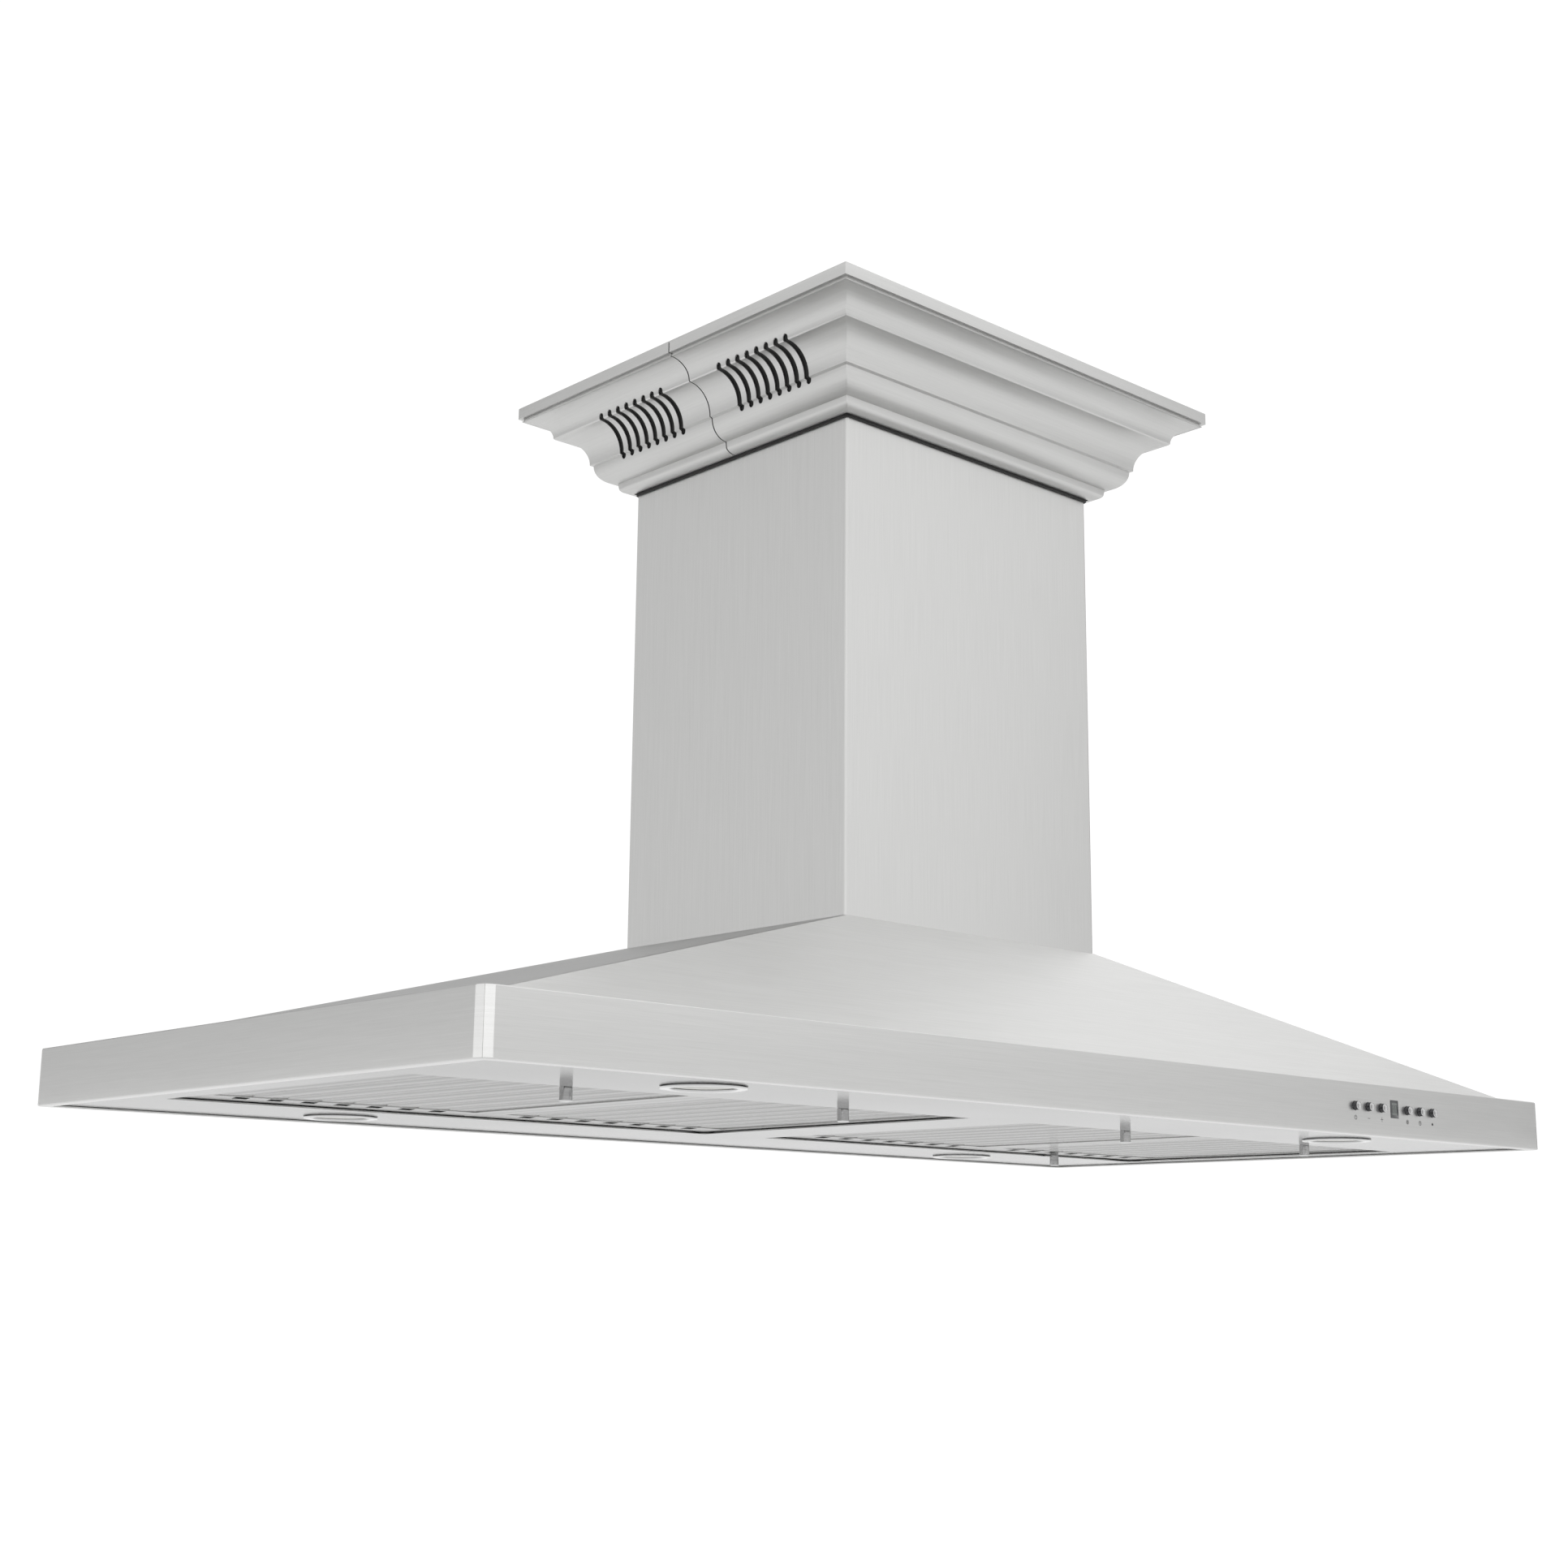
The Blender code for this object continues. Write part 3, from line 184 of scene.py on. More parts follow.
def brushed_stainless(name, grain, dark, light, smooth, rough, edge="#FFFFFF"):
    """304 stainless sheet, belt-brushed to a No. 4 face.

    Fine parallel scratches drag every reflection out along one direction, and rolling
    leaves a slow cloudiness over them, so the sheet reads as soft, even and satin.
    """
    material, tree, shader, place = new_finish(name, {"Metallic": 1.0, "Specular Tint": linear(edge)})
    along = add_node(tree, "ShaderNodeMapping", {"Scale": [1 / size for size in grain]}, {"Vector": place})
    scratches = noise_value(tree, along.outputs[0], 1.0, 5.0, 0.7)
    clouds = noise_value(tree, place, 1 / 0.14, 2.0)
    mixed = add_node(tree, "ShaderNodeMath", {"operation": "MULTIPLY_ADD", 1: 0.55},
                     {0: clouds, 2: scratches}).outputs[0]
    two_tones(tree, shader, scratches, dark, light)
    gloss_between(tree, shader, mixed, smooth, rough, 0.5, 1.05)
    relief(tree, shader, scratches, 0.00004, 0.30)
    return material


UPRIGHT_GRAIN = brushed_stainless("chimney_brushed_stainless", (FINE, FINE, LONG),
                                  "#C0C0BF", "#C8C8C7", 0.30, 0.38)
LEVEL_GRAIN = brushed_stainless("canopy_brushed_stainless", (LONG, LONG, FINE),
                                "#CCCCCB", "#D4D4D3", 0.44, 0.52)
# the upright lip band is coloured darker than the pyramid: painted shade
BAND_SHADE_GRAIN = brushed_stainless("band_painted_shade_stainless", (LONG, LONG, FINE),
                               "#BBBBBA", "#C3C3C2", 0.28, 0.36)
# the canopy's left and right slopes are coloured darker than the rest of the pyramid: painted shade
SIDE_SLOPE_SHADE_GRAIN = brushed_stainless("slope_painted_shade_stainless", (LONG, LONG, FINE),
                               "#C4C4C3", "#CCCCCB", 0.30, 0.38, "#C2C2C2")
# lighter steel on the lip corners: a painted highlight
CORNER_HIGHLIGHT_GRAIN = brushed_stainless("corner_painted_highlight_stainless", (LONG, LONG, FINE),
                               "#DADAD9", "#E0E0DF", 0.22, 0.28)
CROWN_GRAIN = brushed_stainless("crown_brushed_stainless", (LONG, LONG, FINE),
                                "#BDBDBC", "#C6C6C5", 0.42, 0.52)
PAN_GRAIN = brushed_stainless("pan_brushed_stainless", (LONG, FINE, FINE),
                              "#B2B2B1", "#BABAB9", 0.09, 0.15, "#C9C9C9")
BAFFLE_GRAIN = brushed_stainless("baffle_brushed_stainless", (FINE, LONG, FINE),
                                 "#B2B2B1", "#BBBBBA", 0.15, 0.22, "#CBCBCB")


def noise_finish(name, sockets, grain, detail, breakup, tones, gloss, bump=None):
    """A finish whose colour, gloss and relief follow one noise, its grain in metres."""
    material, tree, shader, place = new_finish(name, sockets)
    noise = noise_value(tree, place, 1 / grain, detail, breakup)
    two_tones(tree, shader, noise, *tones)
    gloss_between(tree, shader, noise, *gloss)
    if bump:
        relief(tree, shader, noise, *bump)
    return material


def turned_steel(name, dark, light):
    """Bar stainless, turned and polished, with faint lathe rings round the side."""
    material, tree, shader, place = new_finish(name, {"Metallic": 1.0})
    rings = add_node(tree, "ShaderNodeMapping", {"Scale": (8.0, 8.0, 1 / 0.0005)}, {"Vector": place})
    lathe = noise_value(tree, rings.outputs[0], 1.0, 3.0)
    two_tones(tree, shader, lathe, dark, light)
    gloss_between(tree, shader, lathe, 0.12, 0.22)
    relief(tree, shader, lathe, 0.00002, 0.2)
    return material


def hot_dip_zinc():
    """Galvanised steel sheet: large soft zinc crystals, each with its own grey and gloss."""
    material, tree, shader, place = new_finish("galvanised_steel", {"Metallic": 1.0})
    spangle = add_node(tree, "ShaderNodeTexVoronoi", {"Scale": 1 / 0.009}, {"Vector": place})
    worn = noise_value(tree, place, 1 / 0.05, 6.0, 0.6)
    grey = add_node(tree, "ShaderNodeSeparateColor", {}, {0: spangle.outputs["Color"]}).outputs[0]
    two_tones(tree, shader, grey, "#8E9193", "#A9ACAD", 0.0, 1.0)
    gloss_between(tree, shader, worn, 0.38, 0.52)
    relief(tree, shader, spangle.outputs["Distance"], 0.00006, 0.25)
    return material


def masked_board():
    """Glass-epoxy circuit board under green solder mask, with lighter copper runs below it."""
    material, tree, shader, place = new_finish("solder_masked_board", {"Roughness": 0.35, "IOR": 1.55})
    upright = add_node(tree, "ShaderNodeMapping",
                       {"Rotation": (math.pi / 2, 0, 0), "Scale": (120, 120, 120)}, {"Vector": place})
    runs = add_node(tree, "ShaderNodeTexBrick",
                    {"Scale": 3.0, "Mortar Size": 0.03, "Color1": linear("#0E4A2A"),
                     "Color2": linear("#115230"), "Mortar": linear("#2A7A4B")},
                    {"Vector": upright.outputs[0]})
    tree.links.new(runs.outputs["Color"], shader.inputs["Base Color"])
    relief(tree, shader, runs.outputs["Fac"], 0.00003, 0.4)
    return material


def frosted_lens():
    """Opal polycarbonate lens of an unlit LED lamp: milky, with a fine prismatic frosting."""
    material, tree, shader, place = new_finish(
        "frosted_polycarbonate", {"IOR": 1.58, "Specular IOR Level": 0.2, "Subsurface Weight": 0.15,
                                  "Subsurface Radius": (0.004, 0.004, 0.004)})
    prisms = add_node(tree, "ShaderNodeTexVoronoi", {"Scale": 1 / 0.0011}, {"Vector": place})
    leds = add_node(tree, "ShaderNodeTexVoronoi", {"Scale": 1 / 0.0075, "Randomness": 0.15},
                    {"Vector": place})
    two_tones(tree, shader, leds.outputs["Distance"], "#9A9A92", "#A9A9A4", 0.08, 0.35)
    gloss_between(tree, shader, prisms.outputs["Distance"], 0.30, 0.42, 0.0, 0.6)
    relief(tree, shader, prisms.outputs["Distance"], 0.00008, 0.35)
    return material


def woven_black():
    """Black woven acoustic cloth: matt, with the thread's fine crossing weave."""
    material, tree, shader, place = new_finish("woven_black_cloth_and_shade", {"IOR": 1.45, "Sheen Weight": 0.1})
    weave = add_node(tree, "ShaderNodeTexChecker",
                     {"Scale": 1 / 0.0006, "Color1": (1, 1, 1, 1), "Color2": (0, 0, 0, 1)},
                     {"Vector": place}).outputs["Fac"]
    two_tones(tree, shader, weave, "#0B0B0B", "#141414")
    gloss_between(tree, shader, weave, 0.80, 0.90)
    return material


BRIGHT = turned_steel("turned_polished_steel", "#B0B0B0", "#C0C0C0")
# a dark copy of the polished steel for the buttons' sides: painted shade
BUTTON_SIDE_SHADE = turned_steel("button_side_painted_shade_steel", "#48484A", "#565658")
ZINC = hot_dip_zinc()
# black cloth: the acoustic cloth behind the vents, and painted shade on the seam strips and the chimney
# sleeve
CLOTH_AND_SHADE = woven_black()
BOARD = masked_board()
LENS = frosted_lens()
# black ABS with a fine spark-eroded texture, dull with a soft broken sheen
BLACK = noise_finish("moulded_black_abs", {"IOR": 1.53}, 0.0008, 3.0, 0.6,
                     ("#0F0F10", "#19191A"), (0.42, 0.58), (0.00005, 0.35))
# the motor's black stoving paint, slightly glossy, with a faint orange peel
PAINT = noise_finish("stoved_black_paint", {"IOR": 1.5, "Coat Weight": 0.3}, 0.002, 1.0, 0.5,
                     ("#121213", "#18181A"), (0.30, 0.38), (0.00004, 0.3))
# smoked acrylic, smooth and faintly dusty, over a grey liquid-crystal film with fine cells
SMOKED = noise_finish("smoked_acrylic", {"IOR": 1.49, "Coat Weight": 0.4}, 0.003, 6.0, 0.7,
                      ("#26282A", "#2D2F31"), (0.07, 0.14))
CRYSTAL = noise_finish("liquid_crystal_film", {"IOR": 1.5}, 0.0006, 2.0, 0.5,
                       ("#5C605E", "#686C6A"), (0.16, 0.24))
# screen-printed epoxy ink, thin and matt, a little uneven where the mesh laid it down
INK = noise_finish("printed_ink", {"IOR": 1.5}, 0.0004, 2.0, 0.5, ("#3C3C3C", "#484848"), (0.5, 0.65))
SEGMENT = noise_finish("display_segments", {"IOR": 1.5}, 0.0004, 2.0, 0.5,
                       ("#2B2E2D", "#343736"), (0.5, 0.65))
# matt white floor paint with a faint roller mottle
FLOOR_PAINT = noise_finish("floor_paint", {"IOR": 1.45}, 0.25, 3.0, 0.5,
                           ("#F6F6F6", "#F9F9F9"), (0.75, 0.85))


# ---- Making pieces ----
def to_mesh(name, bm, crease=30):
    """A mesh from a bmesh, smooth but for edges sharper than the crease angle."""
    mesh = bpy.data.meshes.new(name)
    bm.to_mesh(mesh)
    bm.free()
    mesh.shade_smooth()
    mesh.set_sharp_from_angle(angle=math.radians(crease))
    return mesh


def hold(name, mesh):
    obj = bpy.data.objects.new(name, mesh)
    bpy.context.scene.collection.objects.link(obj)
    return obj


def baked(obj, crease=30):
    """An object's finished mesh, with its modifiers applied; the object itself goes."""
    bpy.context.view_layer.update()
    graph = bpy.context.evaluated_depsgraph_get()
    mesh = bpy.data.meshes.new_from_object(obj.evaluated_get(graph), depsgraph=graph)
    bpy.data.objects.remove(obj)
    mesh.shade_smooth()
    mesh.set_sharp_from_angle(angle=math.radians(crease))
    return mesh


def fit(name, mesh, finish, body, slot, *nodes):
    """Puts a finished piece on its body, and in the place of its CAD nodes if it has any."""
    mesh.name = name
    mesh.materials.clear()
    mesh.materials.append(finish)
    obj = hold(name, mesh)
    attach(obj, body)
    if nodes:
        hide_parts(*nodes)
    return obj


def moved(mesh, place, turn=None):
    """A copy of a mesh, turned about its origin and set at a place."""
    copy = mesh.copy()
    copy.transform(Matrix.Translation(place) @ (turn or Matrix.Identity(4)))
    return copy


def joined(name, meshes):
    """Several meshes as one."""
    bm = bmesh.new()
    for mesh in meshes:
        bm.from_mesh(mesh)
    return to_mesh(name, bm)


TO_FRONT = Matrix.Rotation(math.pi / 2, 4, "X")      # +Z to -Y
TO_RIGHT = Matrix.Rotation(math.pi / 2, 4, "Y")      # +Z to +X
TO_LEFT = Matrix.Rotation(-math.pi / 2, 4, "Y")      # +Z to -X


# a dressed corner: two flats with the weld's shallow seam between them
CORNER_TURNS = (0, 4, 42.2, 43.6, 45, 46.4, 47.8, 86, 90)


def arc(x, y, radius, start, groove):
    """Points round a corner, from an angle on for a quarter turn."""
    middle = (x - math.copysign(radius, math.cos(math.radians(start + 45))),
              y - math.copysign(radius, math.sin(math.radians(start + 45))))
    points = []
    for turn in CORNER_TURNS:
        angle = math.radians(start + turn)
        reach = radius - (groove if turn == 45 else 0)
        points.append((middle[0] + reach * math.cos(angle), middle[1] + reach * math.sin(angle)))
    return points


def rounded(half_x, half_y, radius, groove=0.0):
    return (arc(half_x, half_y, radius, 0, groove) + arc(-half_x, half_y, radius, 90, groove)
            + arc(-half_x, -half_y, radius, 180, groove) + arc(half_x, -half_y, radius, 270, groove))


def rows_to_sheet(name, rows, ring, inside, thickness, crease=30):
    """Sheet metal whose outer face runs through rows of points, thick toward the inside."""
    bm = bmesh.new()
    grid = [[bm.verts.new(point) for point in row] for row in rows]
    for upper, lower in zip(grid, grid[1:]):
        spans = list(zip(range(len(upper)), range(1, len(upper))))
        if ring:
            spans.append((len(upper) - 1, 0))
        for a, b in spans:
            bm.faces.new((upper[a], upper[b], lower[b], lower[a]))
    bm.normal_update()
    facing = sum(face.normal.dot(face.calc_center_median() - Vector(inside)) * face.calc_area()
                 for face in bm.faces)
    if facing < 0:
        bmesh.ops.reverse_faces(bm, faces=bm.faces)
    obj = hold(name, to_mesh(name, bm))
    thick = obj.modifiers.new("thickness", "SOLIDIFY")
    thick.thickness = thickness
    thick.offset = -1.0
    thick.use_even_offset = True
    thick.use_quality_normals = True
    return baked(obj, crease)


def at_height(points, z):
    return [(x, y, z) for x, y in points]


def turned(name, profile, steps=48, crease=30):
    """A turned piece about +Z from closed (radius, height) points; radius 0 is its axis."""
    bm = bmesh.new()
    rings = []
    for radius, height in profile:
        if radius < 1e-7:
            rings.append([bm.verts.new((0, 0, height))])
        else:
            rings.append([bm.verts.new((radius * math.cos(2 * math.pi * k / steps),
                                        radius * math.sin(2 * math.pi * k / steps), height))
                          for k in range(steps)])
    pairs = list(zip(rings, rings[1:]))
    if len(rings[0]) > 1 and len(rings[-1]) > 1:
        pairs.append((rings[-1], rings[0]))
    for upper, lower in pairs:
        for k in range(steps):
            n = (k + 1) % steps
            if len(upper) == 1 and len(lower) > 1:
                bm.faces.new((upper[0], lower[k], lower[n]))
            elif len(lower) == 1 and len(upper) > 1:
                bm.faces.new((upper[k], lower[0], upper[n]))
            elif len(upper) > 1:
                bm.faces.new((upper[k], lower[k], lower[n], upper[n]))
    bmesh.ops.recalc_face_normals(bm, faces=bm.faces)
    return to_mesh(name, bm, crease)


def block(low, high, edge=0.0, segments=2):
    """A box between two corners, its edges eased if a width is given."""
    low, high = Vector(low), Vector(high)
    bm = bmesh.new()
    bmesh.ops.create_cube(bm, size=1.0)
    bmesh.ops.scale(bm, vec=high - low, verts=bm.verts)
    bmesh.ops.translate(bm, vec=(low + high) / 2, verts=bm.verts)
    if edge:
        bmesh.ops.bevel(bm, geom=bm.edges[:], offset=edge, segments=segments, affect="EDGES", profile=0.5)
    return to_mesh("block", bm)


def flat_plate(outlines, thickness, underside):
    """A flat sheet from an outline and its holes."""
    curve = bpy.data.curves.new("outline", "CURVE")
    curve.dimensions = "2D"
    curve.fill_mode = "BOTH"
    curve.extrude = thickness / 2
    for outline in outlines:
        spline = curve.splines.new("POLY")
        spline.points.add(len(outline) - 1)
        for point, (x, y) in zip(spline.points, outline):
            point.co = (x, y, 0, 1)
        spline.use_cyclic_u = True
    mesh = baked(hold("outline", curve))
    bm = bmesh.new()
    bm.from_mesh(mesh)
    bmesh.ops.remove_doubles(bm, verts=bm.verts, dist=0.00001)
    bmesh.ops.recalc_face_normals(bm, faces=bm.faces)
    bmesh.ops.translate(bm, vec=(0, 0, underside + thickness / 2), verts=bm.verts)
    return to_mesh("flat_plate", bm)


def circle(radius, centre=(0, 0), sides=96):
    return [(centre[0] + radius * math.cos(2 * math.pi * k / sides),
             centre[1] + radius * math.sin(2 * math.pi * k / sides)) for k in range(sides)]


def four(x, y, *z):
    """The four places at plus and minus x and y."""
    return [(sx * x, sy * y, *z) for sx in (-1, 1) for sy in (-1, 1)]


def shaped(mesh, operation, *tools):
    """A mesh after a Boolean with the tools' meshes."""
    body = hold("body", mesh)
    cutters = [hold("tool_%d" % k, tool) for k, tool in enumerate(tools)]
    for tool in cutters:
        step = body.modifiers.new(tool.name, "BOOLEAN")
        step.operation = operation
        step.object = tool
    result = baked(body)
    for tool in cutters:
        bpy.data.objects.remove(tool)
    return result


# ---- Geometry Nodes trees: a row, a ring and set fasteners ----
def start_tree(name, **sockets):
    """A tree with named inputs and one Geometry output; gives the tree and its inputs."""
    tree = bpy.data.node_groups.new(name, "GeometryNodeTree")
    for label, kind in sockets.items():
        tree.interface.new_socket(name=label, in_out="INPUT", socket_type="NodeSocket" + kind)
    tree.interface.new_socket(name="Geometry", in_out="OUTPUT", socket_type="NodeSocketGeometry")
    return tree, add_node(tree, "NodeGroupInput").outputs


def end_tree(tree, given, placed):
    """Ends a tree: the instances are made real and take their material."""
    real = add_node(tree, "GeometryNodeRealizeInstances", {}, {"Geometry": placed.outputs[0]})
    finished = add_node(tree, "GeometryNodeSetMaterial", {},
                        {"Geometry": real.outputs[0], "Material": given["Finish"]})
    add_node(tree, "NodeGroupOutput", {}, {"Geometry": finished.outputs[0]})
    return tree


def row_tree():
    """Copies of a shape in a row along X, centred on the origin."""
    tree, given = start_tree("row_of_baffles", Shape="Object", Count="Int", Pitch="Float",
                             Finish="Material")
    shape = add_node(tree, "GeometryNodeObjectInfo", {}, {"Object": given["Shape"]})
    spans = add_node(tree, "ShaderNodeMath", {"operation": "SUBTRACT", 1: 1.0}, {0: given["Count"]})
    length = add_node(tree, "ShaderNodeMath", {"operation": "MULTIPLY"},
                      {0: spans.outputs[0], 1: given["Pitch"]})
    first = add_node(tree, "ShaderNodeMath", {"operation": "MULTIPLY", 1: -0.5}, {0: length.outputs[0]})
    start = add_node(tree, "ShaderNodeCombineXYZ", {}, {"X": first.outputs[0]})
    step = add_node(tree, "ShaderNodeCombineXYZ", {}, {"X": given["Pitch"]})
    line = add_node(tree, "GeometryNodeMeshLine", {"mode": "OFFSET"},
                    {"Count": given["Count"], "Start Location": start.outputs[0],
                     "Offset": step.outputs[0]})
    placed = add_node(tree, "GeometryNodeInstanceOnPoints", {},
                      {"Points": line.outputs[0], "Instance": shape.outputs["Geometry"]})
    return end_tree(tree, given, placed)


def ring_tree():
    """Copies of a shape round +Z at a radius, each turned to face out."""
    tree, given = start_tree("ring_of_blades", Shape="Object", Count="Int", Radius="Float",
                             Finish="Material")
    shape = add_node(tree, "GeometryNodeObjectInfo", {}, {"Object": given["Shape"]})
    ring = add_node(tree, "GeometryNodeMeshCircle", {}, {"Vertices": given["Count"],
                                                         "Radius": given["Radius"]})
    number = add_node(tree, "GeometryNodeInputIndex")
    share = add_node(tree, "ShaderNodeMath", {"operation": "DIVIDE"},
                     {0: number.outputs[0], 1: given["Count"]})
    angle = add_node(tree, "ShaderNodeMath", {"operation": "MULTIPLY", 1: 2 * math.pi},
                     {0: share.outputs[0]})
    turn = add_node(tree, "ShaderNodeCombineXYZ", {}, {"Z": angle.outputs[0]})
    placed = add_node(tree, "GeometryNodeInstanceOnPoints", {},
                      {"Points": ring.outputs[0], "Instance": shape.outputs["Geometry"],
                       "Rotation": turn.outputs[0]})
    return end_tree(tree, given, placed)


def fastener_tree():
    """A fastener on every point of a mesh, along one direction, each turned a random amount."""
    tree, given = start_tree("set_fasteners", Geometry="Geometry", Shape="Object",
                             Direction="Rotation", Seed="Int", Finish="Material")
    shape = add_node(tree, "GeometryNodeObjectInfo", {}, {"Object": given["Shape"]})
    wild = add_node(tree, "FunctionNodeRandomValue", {"data_type": "FLOAT", 2: 0.0, 3: math.pi},
                    {8: given["Seed"]})
    twist = add_node(tree, "ShaderNodeCombineXYZ", {}, {"Z": wild.outputs[1]})
    turn = add_node(tree, "FunctionNodeRotateRotation", {"rotation_space": "LOCAL"},
                    {"Rotation": given["Direction"], "Rotate By": twist.outputs[0]})
    placed = add_node(tree, "GeometryNodeInstanceOnPoints", {},
                      {"Points": given["Geometry"], "Instance": shape.outputs["Geometry"],
                       "Rotation": turn.outputs[0]})
    return end_tree(tree, given, placed)


ROW, RING, FASTENERS = row_tree(), ring_tree(), fastener_tree()


def grown(tree, sizes, points=()):
    """Runs a tree with its named sizes and gives the plain mesh."""
    base = bpy.data.meshes.new("points")
    base.from_pydata([tuple(point) for point in points], [], [])
    shape = hold("shape", sizes["Shape"])
    obj = hold("grown", base)
    modifier = obj.modifiers.new("grow", "NODES")
    modifier.node_group = tree
    for item in tree.interface.items_tree:
        if item.in_out == "INPUT" and item.name in sizes:
            modifier[item.identifier] = shape if item.name == "Shape" else sizes[item.name]
    mesh = baked(obj)
    bpy.data.objects.remove(shape)
    return mesh


# ---- Crown ----
def crown_profile():
    """(outward, z) points down the moulding, its coves and rounds in fine steps."""
    reach, z = CROWN_REACH, 0.0
    points = [(reach - CROWN_FLANGE, z), (reach - 0.0008, z), (reach - 0.0002, z - 0.0002),
              (reach, z - 0.0008)]
    for kind, inward, down in CROWN_PARTS:
        steps = 1 if kind == "flat" else 14
        for k in range(1, steps + 1):
            turn = math.pi / 2 * k / steps
            if kind == "cove":
                points.append((reach - inward * math.sin(turn), z - down * (1 - math.cos(turn))))
            elif kind == "round":
                points.append((reach - inward * (1 - math.cos(turn)), z - down * math.sin(turn)))
            else:
                points.append((reach - inward, z - down))
        reach -= inward
        z -= down
    return points


def vent_cutter(side):
    """Eight upright slots with round ends, through the crown's left side."""
    bm = bmesh.new()
    near, far = -(LOWER.x + 0.020), -(LOWER.x + CROWN_REACH)
    radius = VENT_WIDTH / 2
    for k in range(VENT_SLOTS):
        y = side * (VENT_GROUP_Y + (k - (VENT_SLOTS - 1) / 2) * VENT_PITCH)
        outline = []
        for top, start in ((-VENT_TOP - radius, 0), (-VENT_BOTTOM + radius, 180)):
            for n in range(9):
                angle = math.radians(start + 180 * n / 8)
                outline.append((y + radius * math.cos(angle), top + radius * math.sin(angle)))
        inner = [bm.verts.new((near, a, b)) for a, b in outline]
        outer = [bm.verts.new((far, a, b)) for a, b in outline]
        bm.faces.new(inner)
        bm.faces.new(outer)
        for n in range(len(outline)):
            m = (n + 1) % len(outline)
            bm.faces.new((inner[n], inner[m], outer[m], outer[n]))
    bmesh.ops.recalc_face_normals(bm, faces=bm.faces)
    return to_mesh("vents", bm)


def make_crown(name, side):
    rows = []
    for reach, z in crown_profile():
        x, y = LOWER.x + reach, LOWER.y + reach
        path = [(-x, SEAM_HALF)]
        for sx, start in ((-1, 180), (1, 90)):
            for k in range(4):
                angle = math.radians(start - 90 * k / 3)
                path.append((sx * (x - CROWN_MITRE) + CROWN_MITRE * math.cos(angle),
                             y - CROWN_MITRE + CROWN_MITRE * math.sin(angle)))
        path.append((x, SEAM_HALF))
        rows.append([(px, side * py, z) for px, py in path])
    half = rows_to_sheet(name, rows, False, (0, 0, -CROWN_HEIGHT / 2), SKIN, 24)
    half = shaped(half, "DIFFERENCE", vent_cutter(side))
    half.set_sharp_from_angle(angle=math.radians(24))
    fit(name + "_moulding", half, CROWN_GRAIN, "ceiling", "brushed_steel", name)


def backing(side, levels, near, far):
    """Black cloth close behind the moulding on one side, between two places along Y."""
    rows = [[(side * (LOWER.x + reach - CLOTH_IN), y, z + CLOTH_UP) for y in (near, far)]
            for reach, z in crown_profile() if levels[0] < z < levels[1]]
    return rows_to_sheet("cloth", rows, False, (0, 0, sum(levels) / 2), CLOTH_THICK)


def make_crown_lining():
    """Acoustic cloth behind the vents, black strips behind the seams as painted shade, and a black sleeve
    round the chimney that shows below the crown as painted shade of the gap.
    """
    vents = [backing(-1, (-0.064, -0.020), side * 0.030, side * 0.128) for side in (-1, 1)]
    fit("vent_cloth", joined("cloth", vents), CLOTH_AND_SHADE, "ceiling", "black_plastic")
    # black cloth strips behind the crown's joints: painted shade in the seams
    seam_shade_sheets = [backing(side, (-CROWN_HEIGHT + 0.002, -0.014), -0.010, 0.010) for side in (-1, 1)]
    fit("joint_strips", joined("seam_shade_sheets", seam_shade_sheets), CLOTH_AND_SHADE, "ceiling", "black_plastic")
    # a black sleeve round the chimney, hanging below the crown: painted shade of the gap between crown and
    # chimney
    out, bottom = CROWN_GAP - GAP, -CROWN_HEIGHT - SHADE_SLEEVE_DROP
    plan = rounded(LOWER.x + out, LOWER.y + out, BEND + out)
    rows = [at_height(plan, z) for z in (bottom + 0.008, bottom)]
    seal = rows_to_sheet("seal", rows, True, (0, 0, bottom), out - GAP)
    fit("chimney_seal", seal, CLOTH_AND_SHADE, "ceiling", "black_plastic")


# ---- Chimneys ----
def fold(x, y, start, radius=BEND, steps=8):
    """Points round a chimney corner, an even quarter turn from an angle on."""
    inward = math.radians(start + 45)
    middle = (x - math.copysign(radius, math.cos(inward)), y - math.copysign(radius, math.sin(inward)))
    return [(middle[0] + radius * math.cos(math.radians(start + 90 * k / steps)),
             middle[1] + radius * math.sin(math.radians(start + 90 * k / steps))) for k in range(steps + 1)]


def make_chimney(prefix, half, body):
    """Front cover bent round three sides, and the rear cover tucked behind its edges."""
    low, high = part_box(prefix + "_front")
    levels = [high.z, (low.z + high.z) / 2, low.z]
    middle = (0, 0, levels[1])
    back = half.y - SKIN
    path = ([(half.x, back)] + fold(half.x, -half.y, 270)[::-1] + fold(-half.x, -half.y, 180)[::-1]
            + [(-half.x, back)])
    front = rows_to_sheet("cover", [at_height(path, z) for z in levels], False, middle, SKIN)
    fit(prefix + "_front_cover", front, UPRIGHT_GRAIN, body, "brushed_steel", prefix + "_front")
    side = half.x - SKIN - GAP
    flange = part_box(prefix + "_rear")[0].y
    path = [(side, flange)] + fold(side, half.y, 0) + fold(-side, half.y, 90) + [(-side, flange)]
    rear = rows_to_sheet("cover", [at_height(path, z) for z in levels], False, middle, SKIN)
    fit(prefix + "_rear_cover", rear, UPRIGHT_GRAIN, body, "brushed_steel", prefix + "_rear")


# ---- Canopy ----
BUTTONS = [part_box("button_%d" % k) for k in range(1, 7)]
BUTTON_PLACES = [((low.x + high.x) / 2, (low.z + high.z) / 2) for low, high in BUTTONS]
DISPLAY_X = BUTTON_PLACES[2][0] + CONTROL_PITCH
CONTROL_Z = BUTTON_PLACES[0][1]
DISPLAY_WIDE, DISPLAY_TALL = 0.0125, 0.0152


